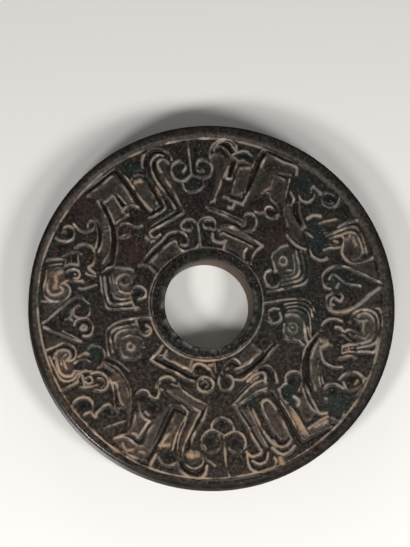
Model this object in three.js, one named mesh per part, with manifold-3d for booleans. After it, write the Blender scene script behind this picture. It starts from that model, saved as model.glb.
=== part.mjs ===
// A carved dark stone bi disc, lying face up. It is one ring cut from one slab: a plain raised
// rim, a plain collar around a hole drilled a little off the middle, and between them a sunk
// field with an old scroll pattern of thin ridges and sharp grooves.
// Millimetres, +Z up. The origin is the middle of the flat underside.
import * as THREE from 'three';
import * as BufferGeometryUtils from 'three/addons/utils/BufferGeometryUtils.js';
import Module from 'manifold-3d';

const wasm = await Module();
wasm.setup();

// Driving dimensions
const disc = { radius: 75, thickness: 14, edge: 1.6, sides: 96 };
const rim = { inner: 71.3, foot: 70.2 };
const field = { depth: 1.1 };
const collar = { x: -2.5, y: 0.6, radius: 22.7, foot: 23.6, sides: 60 };
const bore = { topX: -1.35, topY: 0.5, topRadius: 18.2, lowX: -2.2, lowY: 1.0, lowRadius: 17.9, edge: 0.5, sides: 60 };
const ridge = { halfWidth: 0.75, height: 0.65, embed: 0.35 };
const groove = { halfWidth: 1.0, depth: 0.75, over: 0.2 };
const curveStep = 30;
const axisX = -1.9;

const fieldZ = disc.thickness - field.depth;

// ---- paths in plan. u runs outward from the upright axis, v runs outward from the level one.

function circlePoint(cx, cy, r, degrees) {
  const a = THREE.MathUtils.degToRad(degrees);
  return [cx + r * Math.cos(a), cy + r * Math.sin(a)];
}

// A curl that starts at one radius and angle and turns to another radius.
function spiral(cx, cy, fromRadius, toRadius, start, sweep) {
  const count = Math.max(3, Math.round(Math.abs(sweep) / curveStep));
  const path = [];
  for (let i = 0; i <= count; i += 1) {
    const k = i / count;
    path.push(circlePoint(cx, cy, fromRadius + (toRadius - fromRadius) * k, start + sweep * k));
  }
  return path;
}

// A flowing stroke through a few places.
function flow(places, perSpan = 2) {
  const curve = new THREE.CatmullRomCurve3(places.map(([u, v]) => new THREE.Vector3(u, v, 0)));
  return curve.getPoints(perSpan * (places.length - 1)).map((p) => [p.x, p.y]);
}

// Straight strokes with their corners eased by a radius.
function eased(corners, radius) {
  const path = [];
  corners.forEach(([x, y], i) => {
    if (i === 0 || i === corners.length - 1) {
      path.push([x, y]);
      return;
    }
    const here = new THREE.Vector2(x, y);
    for (const other of [corners[i - 1], corners[i + 1]]) {
      const away = new THREE.Vector2(other[0], other[1]).sub(here);
      away.setLength(Math.min(radius, away.length() * 0.45)).add(here);
      path.push([away.x, away.y]);
    }
  });
  return path;
}

// ---- the motifs of one quarter, each a list of { path, cut, loop }

const raised = (path, loop = false) => ({ path, cut: false, loop });
const sunk = (path, loop = false) => ({ path, cut: true, loop });

function fork() {
  return [raised(spiral(5.2, 56.9, 5.2, 1.6, 203, 345))];
}

function hook() {
  const head = spiral(12.3, 60.4, 3.0, 3.0, 150, -150);
  return [
    sunk([...head, [12.6, 51.9], [6.9, 41.0], [16.8, 35.2]]),
    raised(spiral(13.0, 61.0, 6.2, 6.6, 160, -165)),
    raised(spiral(19.0, 32.2, 2.4, 1.3, 60, 240)),
  ];
}

// A long slot with a round head near the rim and a square foot.
function slot() {
  const head = new THREE.Vector2(22.6, 58.0);
  const foot = new THREE.Vector2(16.9, 43.2);
  const half = 2.6;
  const along = head.clone().sub(foot).normalize();
  const turn = THREE.MathUtils.radToDeg(along.angle());
  const across = new THREE.Vector2(along.y, -along.x).multiplyScalar(half);
  const arch = spiral(head.x, head.y, half, half, turn - 90, 180);
  const near = foot.clone().sub(across);
  const far = foot.clone().add(across);
  return [sunk([[far.x, far.y], ...arch, [near.x, near.y]], true)];
}

function ell() {
  return [sunk([[46.2, 52.2], [32.1, 60.6], [20.2, 40.8]])];
}

// A square hook inside the ell, whose tail sweeps down to the eye as a long crescent.
function nestedHook() {
  const tail = flow([[38.6, 48.2], [36.4, 41], [35.2, 35.5], [35.3, 30], [36.8, 24.8], [43.6, 17.2]]);
  return [
    sunk([[29.0, 45.2], [33.4, 50.9], ...tail]),
    sunk(flow([[42.2, 39.4], [41.4, 33.5], [42.9, 27.4]])),
    raised([[36.6, 36.8], [39.8, 36.9]]),
  ];
}

function rings() {
  return [
    raised(spiral(30.5, 34.5, 3.1, 2.5, -25, -290)),
    raised(spiral(27.0, 38.8, 2.8, 2.4, 290, 240)),
  ];
}

function rimCurls() {
  return [
    raised(spiral(54.8, 36.5, 3.7, 2.3, -20, -320)),
    raised(spiral(46.3, 39.9, 3.5, 3.5, 170, 200)),
  ];
}

function arch() {
  return [raised(flow([[51.8, 29.4], [48, 31.1], [44.3, 28.6], [44, 24.5], [47, 21.2]]))];
}

function ladder() {
  return [
    raised([[49.8, 27.5], [55.4, 27.7]]),
    raised([[53.2, 27.6], [53.2, 24.6]]),
    raised([[56.4, 25.6], [63.4, 27.4]]),
  ];
}

// Square turns around a bar, open toward the middle of the disc.
function rimSquare() {
  const turns = [0, 1, 2].map((k) => {
    const u = 6.3 - 1.8 * k;
    const v = 7.0 - 1.95 * k;
    const corners = [[-u * 0.8, v], [u, v], [u + 0.8, -v], [-u * 0.9, -v], [-u * 0.9, -v * 0.1]];
    return raised(eased(corners.map(([du, dv]) => [60.6 + du, 16.9 + dv]), 2.4 - 0.5 * k));
  });
  return turns;
}

function heart() {
  return [
    raised(flow([[67.6, 0.9], [60.5, 5.4], [55.6, 8.9], [51.6, 9.7], [48.2, 7.9]])),
    raised(spiral(52.0, 3.9, 3.6, 1.4, 75, 290)),
  ];
}

// Three nested corners around a round eye.
function eye() {
  const corners = [0, 1, 2].map((k) => {
    const step = 2.1 * k;
    const outer = 42.7 - step;
    return raised(eased([[26 + step * 1.3, 1.9 + step], [outer, 1.9 + step], [outer, 17.4 - step * 0.3]], 4 - k));
  });
  return [
    ...corners,
    raised(eased([[37.6, 20.6], [29.4, 18.6], [29.0, 15.5], [30.4, 10.9]], 1.5)),
    raised(spiral(33.3, 13.4, 1.9, 1.9, 0, 360).slice(0, -1), true),
  ];
}

function collarCurl() {
  return [raised(spiral(27.2, 7.8, 3.2, 1.6, 165, -290))];
}

// An angular bracket on the collar, with a second line inside it.
function bracket() {
  return [
    raised(eased([[19.3, 15.2], [25.8, 20.3], [17.0, 28.0], [9.0, 32.3], [5.2, 29.6], [8.2, 26.4]], 1.8)),
    raised(eased([[20.6, 20.2], [10.4, 27.9], [7.6, 23.6]], 1.2)),
  ];
}

function axisCurl() {
  return [raised(spiral(4.1, 32.9, 3.5, 1.5, 190, -320))];
}

const quarterMotifs = [
  fork, hook, slot, ell, nestedHook, rings, rimCurls, arch, ladder, rimSquare, heart, eye,
  collarCurl, bracket, axisCurl,
];

// ---- the carver's hand: how far each quarter strays from the true pattern at a few places

const places = {
  fork: [5.2, 56.9], hookHead: [12.3, 60.8], hookCorner: [6.0, 40.4], armEnd: [17, 33.6],
  slotHead: [22.6, 60.6], slotFoot: [16.9, 42.2], ellCorner: [32.1, 60.6], ellEnd: [46.4, 52.1],
  nest: [37.8, 48.2], ring: [30.5, 34.5], smallRing: [27, 38.5], crescent: [35.2, 31],
  crescentFoot: [41, 19], innerCurl: [46.3, 40], rimCurl: [54.8, 36.6], rimSquare: [62, 16.9],
  heart: [52, 6], eye: [33.3, 13.6], bracket: [25.8, 20.3], bracketEnd: [10.4, 27.5],
  axisCurl: [3.8, 32.6],
};
const quarters = [
  { side: -1, end: 1, stray: {
    hookHead: [-0.3, -0.5], armEnd: [0.5, -0.1], slotHead: [-1.2, -3], slotFoot: [-1.4, -0.3],
    ellCorner: [-0.5, -0.1], ellEnd: [-0.5, -0.7], nest: [-0.2, -0.6], smallRing: [-1.1, -0.2],
    crescent: [-1, 0], crescentFoot: [-1.2, 0], innerCurl: [-0.4, -0.7], rimCurl: [-1.2, -0.6],
    rimSquare: [-1.4, -1.9], bracketEnd: [0.1, 0.7] } },
  { side: 1, end: 1, stray: {
    hookHead: [0.1, 0.8], hookCorner: [-1, 1], armEnd: [-1.1, -0.2], slotHead: [-0.4, 1.6],
    slotFoot: [0.6, 0.3], ellCorner: [-0.3, 0.8], ellEnd: [-1.9, 1.9], nest: [0.8, 0.7],
    ring: [0.2, 1.2], smallRing: [-2.2, 1.1], crescent: [1, 0.5], crescentFoot: [1, 0.2],
    innerCurl: [-0.2, 2], rimCurl: [0.5, 1.6], rimSquare: [0.4, 1.8], heart: [0.2, 0.8],
    eye: [-0.1, 1.3], bracket: [-0.9, 2.1], bracketEnd: [-0.9, 1.6], axisCurl: [-0.1, 1.1] } },
  { side: -1, end: -1, stray: {
    fork: [0.5, -1.6], hookHead: [1.5, 0.7], hookCorner: [0.6, 0.2], armEnd: [-0.4, -0.4],
    slotHead: [1.7, 0.9], slotFoot: [0.7, -1.2], ellCorner: [0.9, -0.4], ellEnd: [1.2, -0.6],
    nest: [0.6, 0], ring: [0.5, -0.2], smallRing: [0.1, -1.3], crescent: [1.2, -0.2],
    crescentFoot: [0, 1], innerCurl: [0, -1], rimCurl: [0.7, -1.6], rimSquare: [-0.6, 0.4],
    heart: [0, -0.8], eye: [0.1, -0.6], bracket: [0.6, -1.1], bracketEnd: [0.5, -1.6],
    axisCurl: [0.9, -1.3] } },
  { side: 1, end: -1, stray: {
    fork: [-1.1, -0.6], hookHead: [0.9, 1.4], hookCorner: [0.4, 1.2], armEnd: [-0.4, -0.8],
    slotHead: [1.2, 0.8], ellCorner: [0.3, 0.3], ellEnd: [1.8, -0.3], nest: [0, 0.2],
    ring: [-0.2, -0.7], smallRing: [0.8, 1.2], crescentFoot: [0.5, -0.8], innerCurl: [0.6, 0.6],
    rimCurl: [-0.1, 0.6], rimSquare: [1.2, -0.9], heart: [0.2, -0.8], eye: [0.3, -0.6],
    bracket: [0.5, -1.5], bracketEnd: [0.3, -0.7], axisCurl: [-0.8, -0.8] } },
];
const strayReach = 5;
const strayFade = 0.15;

// Puts a place of the true pattern where the carver cut it in one quarter.
function carvedPlace([u, v], quarter) {
  let total = strayFade;
  let du = 0;
  let dv = 0;
  for (const [name, [pu, pv]] of Object.entries(places)) {
    const weight = Math.exp(-((u - pu) ** 2 + (v - pv) ** 2) / (2 * strayReach ** 2));
    const [su, sv] = quarter.stray[name] ?? [0, 0];
    du += weight * su;
    dv += weight * sv;
    total += weight;
  }
  return [axisX + quarter.side * (u + du / total), quarter.end * (v + dv / total)];
}

// The stem of each fork and the cup under it lie on the upright axis.
function axisStrokes() {
  return [1, -1].flatMap((end) => [
    raised([[axisX, end * 70.8], [axisX, end * 55.6]]),
    raised(spiral(0, 51.4, 4.6, 4.6, 195, 150).map(([x, y]) => [axisX + x, end * y])),
    raised([[axisX, end * 35], [axisX, end * 23.2]]),
  ]);
}

// ---- solids

function solidOf(geometry) {
  geometry.deleteAttribute('normal');
  geometry.deleteAttribute('uv');
  const merged = BufferGeometryUtils.mergeVertices(geometry);
  return new wasm.Manifold(new wasm.Mesh({
    numProp: 3,
    vertProperties: new Float32Array(merged.attributes.position.array),
    triVerts: new Uint32Array(merged.index.array),
  }));
}

// A solid turned about Z from a profile of [radius, height] corners, wound outward.
function turned(profile, sides) {
  const geometry = new THREE.LatheGeometry(profile.map(([r, z]) => new THREE.Vector2(r, z)), sides);
  return geometry.rotateX(Math.PI / 2);
}

// A three-sided bar along a path: its flat side at one height, its edge at another.
function bar({ path, cut, loop }) {
  const half = cut ? groove.halfWidth : ridge.halfWidth;
  const flatZ = cut ? fieldZ + groove.over : fieldZ - ridge.embed;
  const edgeZ = cut ? fieldZ - groove.depth : fieldZ + ridge.height;
  const count = path.length;
  const corners = [];
  for (let i = 0; i < count; i += 1) {
    const before = loop ? path[(i + count - 1) % count] : path[Math.max(i - 1, 0)];
    const after = loop ? path[(i + 1) % count] : path[Math.min(i + 1, count - 1)];
    const here = new THREE.Vector2(...path[i]);
    const arriving = here.clone().sub(new THREE.Vector2(...before)).normalize();
    const leaving = new THREE.Vector2(...after).sub(here).normalize();
    const heading = arriving.clone().add(leaving).normalize();
    const across = new THREE.Vector2(-heading.y, heading.x);
    const lean = Math.abs(heading.dot(leaving.lengthSq() > 0 ? leaving : arriving));
    const reach = half / Math.max(lean, 0.5);
    corners.push(
      here.x + across.x * reach, here.y + across.y * reach, flatZ,
      here.x - across.x * reach, here.y - across.y * reach, flatZ,
      here.x, here.y, edgeZ,
    );
  }
  const faces = [];
  const spans = loop ? count : count - 1;
  for (let i = 0; i < spans; i += 1) {
    for (let side = 0; side < 3; side += 1) {
      const a = 3 * i + side;
      const b = 3 * i + (side + 1) % 3;
      const c = 3 * ((i + 1) % count) + side;
      const d = 3 * ((i + 1) % count) + (side + 1) % 3;
      faces.push(a, c, b, b, c, d);
    }
  }
  if (!loop) {
    const end = 3 * (count - 1);
    faces.push(0, 1, 2, end, end + 2, end + 1);
  }
  if (cut) faces.reverse();
  const geometry = new THREE.BufferGeometry();
  geometry.setAttribute('position', new THREE.BufferAttribute(new Float32Array(corners), 3));
  geometry.setIndex(faces);
  return geometry;
}

function slab() {
  const { radius, thickness, edge, sides } = disc;
  return turned([
    [0, 0], [radius - edge, 0], [radius, edge], [radius, thickness - edge],
    [radius - edge * 0.35, thickness - edge * 0.35], [radius - edge, thickness],
    [rim.inner, thickness], [rim.foot, fieldZ], [0, fieldZ],
  ], sides);
}

function collarRing() {
  const sunkFoot = fieldZ - 0.5;
  const inside = bore.lowRadius - 4;
  const ring = turned([
    [inside, sunkFoot], [collar.foot, sunkFoot], [collar.foot, fieldZ],
    [collar.radius, disc.thickness], [inside, disc.thickness], [inside, sunkFoot],
  ], collar.sides);
  return ring.translate(collar.x, collar.y, 0);
}

// The drilled hole leans and tapers a little, and its edges are eased.
function boreCutter() {
  const { topRadius, lowRadius, edge, sides } = bore;
  const past = 2;
  const cutter = turned([
    [0, -past], [lowRadius + edge, -past], [lowRadius + edge, 0], [lowRadius, edge],
    [topRadius, disc.thickness - edge], [topRadius + edge, disc.thickness],
    [topRadius + edge, disc.thickness + past], [0, disc.thickness + past],
  ], sides);
  const lean = new THREE.Matrix4().makeShear(
    0, 0, 0, 0, (bore.topX - bore.lowX) / disc.thickness, (bore.topY - bore.lowY) / disc.thickness,
  );
  return cutter.applyMatrix4(lean).translate(bore.lowX, bore.lowY, 0);
}

function carvedDisc() {
  const strokes = axisStrokes();
  for (const quarter of quarters) {
    for (const motif of quarterMotifs) {
      for (const stroke of motif()) {
        const path = stroke.path.map((place) => carvedPlace(place, quarter));
        strokes.push({ ...stroke, path });
      }
    }
  }
  let stone = solidOf(slab());
  for (const stroke of strokes.filter((s) => s.cut)) {
    stone = stone.subtract(solidOf(bar(stroke)));
  }
  for (const stroke of strokes.filter((s) => !s.cut)) {
    stone = stone.add(solidOf(bar(stroke)));
  }
  return stone.add(solidOf(collarRing())).subtract(solidOf(boreCutter()));
}

function geometryOf(solid) {
  const { vertProperties, triVerts } = solid.getMesh();
  const geometry = new THREE.BufferGeometry();
  geometry.setAttribute('position', new THREE.BufferAttribute(vertProperties, 3));
  geometry.setIndex(new THREE.BufferAttribute(triVerts, 1));
  return geometry;
}

const darkJade = new THREE.MeshStandardMaterial({ color: 0x37322e, roughness: 0.42, metalness: 0 });

const group = new THREE.Group();
const biDisc = new THREE.Mesh(geometryOf(carvedDisc()), darkJade);
biDisc.name = 'bi_disc';
group.add(biDisc);

export default group;
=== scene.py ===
import math
import bpy
import numpy as np
from mathutils import Matrix, Vector


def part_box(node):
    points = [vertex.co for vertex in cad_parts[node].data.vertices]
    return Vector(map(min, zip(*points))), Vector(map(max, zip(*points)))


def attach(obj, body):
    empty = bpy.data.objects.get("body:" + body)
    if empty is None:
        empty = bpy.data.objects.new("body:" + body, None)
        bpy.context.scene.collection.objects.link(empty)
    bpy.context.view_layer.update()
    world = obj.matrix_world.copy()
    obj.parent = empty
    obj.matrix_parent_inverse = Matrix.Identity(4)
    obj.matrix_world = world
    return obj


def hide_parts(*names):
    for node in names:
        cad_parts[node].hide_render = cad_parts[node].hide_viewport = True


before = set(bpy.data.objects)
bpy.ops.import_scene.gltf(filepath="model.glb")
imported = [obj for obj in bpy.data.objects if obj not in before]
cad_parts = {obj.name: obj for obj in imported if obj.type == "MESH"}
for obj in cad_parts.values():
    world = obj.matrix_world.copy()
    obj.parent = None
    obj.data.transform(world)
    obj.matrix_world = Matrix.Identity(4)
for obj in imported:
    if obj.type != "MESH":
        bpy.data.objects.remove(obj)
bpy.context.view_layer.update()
low, high = (np.array(corner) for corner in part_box("bi_disc"))
print("frame loaded, disc box", low.round(4).tolist(), high.round(4).tolist())

mm = 0.001
base = ((low[0] + high[0]) / 2, (low[1] + high[1]) / 2, low[2])


def stroke(kind):
    # makes strokes of one kind, from places written x, y, x, y and so on
    def made(*numbers, size=None):
        return kind, np.reshape(numbers, (-1, 2)).astype(float), size
    return made


# the fourth kind of stroke lays raised patches of pale residue, and the small dots of that kind are painted
# glints
ridge, thread, groove, wornAndGlint, pit = (stroke(kind) for kind in ("ridge", "thread", "groove", "wornAndGlint", "pit"))

# the carving: places in millimetres from the middle of the disc

carving = [
    # on the middle line
    # stem
    ridge(-1.9, 69.6, -2, 62, -1.9, 54.8),
    ridge(-1.9, -53.6, -2.2, -60.1, -2.2, -65.7, -1.7, -70.6),
    # collar stem
    ridge(-1.9, 33, -1.9, 28, -1.6, 23.6),
    thread(-2.2, -27, -2, -23.8),
    # stem
    thread(-2.2, 55.4, -1.4, 54.6),
    # upper left quarter
    # fork
    ridge(-5.2, 56.6, -4.1, 57.8, -4.6, 60.1, -6.7, 61, -9.1, 59.9, -10.1, 57.5, -9.8, 55.1, -8.3, 53.3,
        -6, 52.5, -4.1, 53.3, -2.6, 54.5, -1.9, 55),
    ridge(-6.1, 51.8, -5.6, 49.9, -4.2, 48.3, -1.9, 47.7),
    # hook
    ridge(-21.7, 60.5, -21.5, 63, -20.3, 65.4, -17.7, 67.1, -14.6, 67.5, -11.8, 66.5, -9.8, 64.5,
        -9.3, 62.2),
    groove(-20.4, 60.6, -20.1, 62.9, -18.5, 65, -15.8, 66.3, -13.2, 65.9),
    ridge(-18, 57.5, -18.3, 60.1, -17.7, 62.2, -16.1, 63.9, -14.3, 64.5, -12.6, 63.7),
    ridge(-14.4, 57.5, -15.4, 59.8, -15.2, 61.5, -13.8, 62.5, -12.1, 62.3, -10.9, 60.7),
    ridge(-14.4, 57.5, -12.7, 53.9, -10.1, 48.5, -8.4, 43.7, -7, 40.3),
    groove(-16.8, 61.9, -17.1, 60.1, -16.8, 57.5, -14.9, 53, -12.1, 47.7, -10.1, 42.9, -9.1, 40.4),
    ridge(-18, 57.5, -16.5, 53.3, -14.3, 49.3, -12.2, 45.4, -10.4, 41.7),
    # arm
    ridge(-7, 40.3, -8, 39.3, -12.1, 37.5, -17.2, 35.2, -20.9, 33.7, -22, 32.3, -21.4, 31),
    groove(-9.1, 40.4, -13.2, 38.3, -18.3, 35.8, -20.6, 34.6),
    thread(-21.4, 31, -19.9, 30.4, -17.7, 31.5),
    wornAndGlint(-23.7, 30.8, -22.8, 29.7, size=0.9),
    wornAndGlint(-21.7, 28.9, -20.6, 29.1, size=0.7),
    # slot
    groove(-26.3, 54.7, -25.9, 56.6, -24.5, 57.9, -22.5, 57.9, -20.6, 56.2, -18.9, 52.7, -17.1, 47.9,
        -15.4, 43.7, -16.2, 42.5, -20.3, 40.3),
    ridge(-26.9, 55.1, -25.9, 56.9, -23.7, 57.5, -21.8, 56.7),
    ridge(-20.6, 57, -18.9, 53.8, -16.7, 48.8, -14.9, 44.6, -14.5, 42.5, -17.2, 40.6, -20.3, 39.2,
        -21.4, 39.1),
    ridge(-21.4, 53.6, -20.5, 51.3, -18.6, 47.1, -17.7, 44.7),
    ridge(-26.4, 52.6, -24.8, 48.5, -22, 44.3, -20.1, 42.1),
    wornAndGlint(-25.4, 54.1, -23.1, 54.5, size=1.2),
    wornAndGlint(-17.1, 51.3, -15.5, 47.7, size=0.6),
    # ell
    groove(-21.4, 40.6, -24.2, 45.7, -27.3, 51.3, -30.2, 56.1, -33.1, 60.1),
    groove(-33.1, 60.1, -37.5, 57.5, -42, 54.7, -46.2, 52.2),
    ridge(-25.8, 43.7, -27.3, 46, -29.6, 50.8, -31.9, 55.3, -33.7, 58.5),
    ridge(-33.7, 58.5, -37.5, 55.7, -40.9, 53.4, -45.4, 50.7),
    ridge(-32.3, 60.9, -30.2, 58.1, -26.9, 53, -23.7, 46.5, -20.6, 41.4),
    # nest
    groove(-34.6, 50, -32.7, 47.1, -31, 44.7),
    ridge(-39.1, 47, -37.2, 48.2, -35, 49.5),
    ridge(-35, 49.5, -34, 47.1, -32.7, 44.3, -31.9, 42.9),
    thread(-33.7, 50.4, -31.7, 47.5, -29.7, 44.7),
    ridge(-31.9, 42.9, -30.3, 44.3, -27.9, 44.7, -25.5, 43.6),
    wornAndGlint(-32.1, 42.7, -31.4, 41.6, size=0.7),
    # crescent
    groove(-40.2, 47.7, -39.3, 45.1, -38, 41.7, -37, 38.3, -36.6, 35, -36.8, 31.6, -37.5, 27.9, -38.6, 24.5,
        -40.4, 21.4, -43.1, 19.2),
    ridge(-41.6, 47.9, -40.8, 45.4, -39.5, 42, -38.4, 38.1, -38.1, 34.7),
    ridge(-39.1, 47, -37.6, 43.7, -36.6, 40.6, -35.9, 37.5, -35.4, 34.1, -35.5, 29.9, -36.6, 25.1,
        -38.1, 20.9, -40.9, 20, -43.1, 18.9),
    thread(-38.1, 34.7, -38.5, 29.6, -40, 25.4, -42.6, 22.5),
    # small crescent
    groove(-43.3, 39.8, -42.2, 36.4, -42.5, 32.4, -44.2, 28.4),
    ridge(-45.1, 40.4, -43.7, 39.3, -43.3, 36.4, -43.6, 32.4, -44.9, 28.8),
    ridge(-44, 40.4, -42.5, 39.5, -41.3, 36.7, -41.2, 33.3, -42.1, 29.6, -43.7, 27.1),
    # bridge
    thread(-40.9, 37.2, -38.1, 37.2),
    thread(-41, 35.4, -38.1, 35.4),
    # ring
    ridge(-24.8, 35.9, -26.5, 35.5, -28.4, 36.3, -30.1, 37.3, -32.4, 37.7, -34.3, 36.6, -35.2, 34.4,
        -34.4, 32.3, -32.3, 31.7, -30.4, 32.5, -29.7, 34.2),
    wornAndGlint(-33.1, 32.4, -31.2, 32.7, size=0.6),
    ridge(-35.1, 38.1, -33.5, 39.3, -31.5, 40.4, -29.8, 41.2),
    pit(-28.6, 39, size=1.5),
    # rim curl
    ridge(-60.1, 35, -58.4, 33.4, -55.8, 32.8, -53.5, 33.7, -52.6, 35.8, -53.1, 38, -54.8, 39, -56.6, 38.5,
        -57.2, 37.2, -56, 36.8),
    pit(-55.1, 35.5, size=1.4),
    # inner curl
    ridge(-52.6, 39.6, -51.5, 38.1, -49.8, 36.5, -47.5, 35.9, -45.4, 36.5, -44.2, 38.1, -43.8, 40),
    ridge(-45.7, 40, -43.8, 40.9, -42.5, 40.2),
    wornAndGlint(-46.6, 39.2, -47.1, 37.5, size=0.5),
    # arch
    ridge(-53, 29.7, -50.8, 30.7, -48.2, 30.7, -46.2, 29.3, -45.4, 26.8, -45.7, 24, -47.1, 22, -48.5, 21,
        -46.2, 18.5),
    # ladder
    ridge(-58.4, 26.8, -55.3, 27.9, -52.2, 28.1, -50.8, 27.2),
    ridge(-57.5, 22.9, -55, 23.2, -52.8, 22.7),
    thread(-57.5, 26.3, -57.5, 23.1),
    thread(-55.1, 26.5, -55.1, 23.2),
    thread(-52.4, 26.8, -52.4, 23.2),
    # square
    ridge(-64.9, 25.9, -58.1, 25.4, -58, 22.8),
    thread(-64.5, 23.7, -59.1, 23.7),
    ridge(-65.4, 22.8, -66.2, 18.3, -67.5, 14.9, -67.7, 12.1, -66.3, 9.8, -63.5, 8.6, -60.4, 8.8, -58.1, 10,
        -57, 12.1, -57.5, 14.4, -59.1, 15.7),
    ridge(-63.6, 21.4, -64.6, 20, -65.2, 17.7, -66.2, 15.2, -66.3, 13.2, -65, 11.5, -62.8, 11.2, -60.7, 12,
        -60.1, 13.3, -61, 14.3),
    thread(-63.6, 21.4, -61.2, 22.3, -58.6, 21.9),
    wornAndGlint(-62.8, 14.1, -62.3, 16.7, -61.9, 19.3, -59.5, 20.5, size=1.1),
    thread(-69.1, 9.4, -65.7, 8.5, -62.3, 8.3),
    ridge(-60.1, 15.5, -57.7, 16.5, -55, 16.2, -51.7, 15.8),
    wornAndGlint(-53, 15.8, -51.6, 15.8, size=0.7),
    # swirl
    ridge(-57.5, 20.5, -55.6, 21, -53.3, 20.5, -52.4, 18.8, -53.3, 17.2, -55.3, 17.2),
    wornAndGlint(-54.5, 18.9, -54.1, 18.5, size=0.5),
    # fringe
    thread(-53.6, 13.2, -51.6, 12.6, -48.5, 13.2, -46.2, 13.9),
    thread(-49.9, 18.9, -48.3, 17.7, -46.2, 17.1),
    # heart
    ridge(-69.7, 0.4, -65.7, 2.8, -61.8, 5.6, -57.8, 8.4, -54.4, 9.5, -52.2, 8.9, -50, 6.5),
    ridge(-49.9, 4.8, -50.6, 1.9, -52.2, 0.7, -54.1, 0.6, -56, 1.5, -56.9, 3.4, -56, 5.4, -54.3, 6),
    wornAndGlint(-57.8, 1.9, -57.2, 4.2, size=0.8),
    thread(-60.3, 1.1, -57.8, 2.2),
    # eye
    ridge(-44.2, 16.5, -44.3, 12.1, -44, 7.6, -43, 4, -40.9, 3, -36.4, 2.6, -32.4, 2.4, -30.4, 2.4),
    ridge(-42.5, 16.2, -42.6, 9.6, -41.7, 6, -39.4, 4.8, -35.2, 4.7, -32.8, 5.1),
    ridge(-40.6, 16.1, -40.4, 10.7, -39.6, 7.9, -37.8, 6.7, -35.2, 6.4, -33.1, 6.8),
    ridge(-38.1, 20, -35, 19.3, -31.6, 18.5, -30.3, 17.1, -30.6, 15.5, -31.9, 13.8),
    thread(-39.3, 17.2, -39.1, 12.1, -38.4, 9.3),
    ridge(-36.4, 16.1, -37.7, 14.9, -38.1, 12.7, -37.5, 10.9),
    ridge(-36.3, 13.1, -34.8, 12, -33.1, 13),
    thread(-36.3, 16.1, -34.1, 16.7, -32.1, 16.1, -31.9, 14.4),
    ridge(-37.3, 10, -35.2, 8.9, -32.9, 8.6, -31.7, 9.5),
    pit(-34.9, 14.3, size=0.6),
    # collar curl
    ridge(-31.3, 1.9, -32.3, 4.2, -32.8, 7, -32.4, 9.4, -31.5, 10.8, -29.7, 11.3, -27.6, 10.6, -26.4, 8.9,
        -26.8, 7, -28.4, 6, -29.8, 6.2),
    pit(-29.7, 8, size=1.1),
    # cheek
    ridge(-28, 20, -24.5, 19.4, -22.7, 17.7, -21.4, 15.8, -20.6, 14.5),
    # bracket
    ridge(-26.9, 20.6, -25, 22.7, -21.4, 25.9, -17.2, 29, -14.3, 31.5, -10.9, 32, -8.3, 31.2, -6.8, 29,
        -6.8, 27, -8.3, 25.9, -9.8, 26.5),
    groove(-25.9, 21.1, -22.7, 24.6, -18.2, 27.8, -14.3, 30.5, -10.4, 31, -8.2, 29.3, -7.6, 27.3),
    ridge(-23.7, 20.5, -20, 23.6, -16.1, 26.4, -12.2, 28.1, -11.4, 25.9, -9.8, 24, -7.5, 23.2, -4.2, 24.2,
        -2.3, 26.8, -1.9, 30.7, -2.2, 34.1, -3.6, 36, -5.9, 36.7, -8, 35.7, -9, 33.7, -7.9, 32.3),
    wornAndGlint(-22.4, 20.7, -20.1, 22.8, size=0.8),
    # axis curl
    wornAndGlint(-7.9, 32.7, -5.8, 31.9, size=0.7),
    ridge(-5.8, 31.9, -4.3, 33),
    pit(-5.4, 33.8, size=0.9),
    # upper right quarter
    # fork
    ridge(3.1, 56, 1.5, 56.1, 0.6, 57.5, 1.3, 60, 3.5, 60.7, 5.8, 59.4, 6.8, 57.1, 6, 54.4, 3.6, 53,
        0.9, 53.6, -1.2, 54.9, -1.9, 55.2),
    ridge(2.4, 52.7, 2.5, 50.4, 0.9, 48.8, -0.8, 47.9, -1.9, 47.7),
    # hook
    ridge(6.6, 60.1, 6.5, 62.2, 6.9, 64.5, 8.4, 66.6, 11.1, 68.2, 13.7, 68.4, 16.2, 67.3, 17.8, 65,
        17.6, 62.9),
    ridge(8.7, 64.9, 10.5, 66.7, 12.9, 67.5, 15.2, 66.5, 16.5, 64.5, 17.5, 62.6),
    ridge(8.4, 64.1, 10.1, 65.6, 11.9, 65.6, 13.5, 64, 14.4, 62.2, 15, 60.5),
    groove(7.3, 63.5, 9.1, 65.9, 11.9, 67.5, 14.5, 67.4, 16.6, 65.4),
    groove(9.6, 65, 12.1, 66.6, 14.4, 65.4, 15.8, 62.9),
    ridge(6.6, 60.1, 6.9, 61.5, 8.4, 62.4, 10.5, 62.2, 11.7, 61.7),
    ridge(15, 60.5, 13.9, 57.4, 12.2, 54.1, 11.1, 52.6, 10, 51.7, 9.2, 49.2, 7.7, 46.5, 6.2, 43.3,
        4.7, 42.7),
    ridge(14.9, 60.1, 13.6, 56.6, 12.1, 52.8, 12.9, 51.6, 14.4, 51.9, 15.9, 54.7, 17.5, 58.1),
    groove(15.9, 58.4, 14.7, 55.6, 13.3, 52.7),
    # arm
    ridge(2.4, 40.9, 6.5, 39.3, 10.5, 37.2, 14.9, 35, 16.8, 33.4, 16.2, 31.9),
    ridge(3.6, 39.8, 9.3, 36.6, 14.4, 33.5, 16.2, 31.9),
    # tail
    ridge(16.2, 31.5, 17.5, 32.4, 17.9, 34.1, 17.5, 35.5, 19.4, 36.3, 21.2, 35.7, 22.2, 34, 22, 31.3,
        20.6, 29.6, 18, 28.9, 15.5, 29.3, 13.1, 31, 10.7, 31.9, 7.9, 31.9, 6, 31.2),
    wornAndGlint(14.4, 29.7, 13.2, 30.6, size=0.5),
    # knob
    ridge(15.5, 61.3, 17.5, 62.1, 20.6, 62.5, 23.2, 61.2, 24.6, 58.8, 23.7, 56.3, 22.3, 55.2, 19.4, 55,
        18, 55.4),
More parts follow.
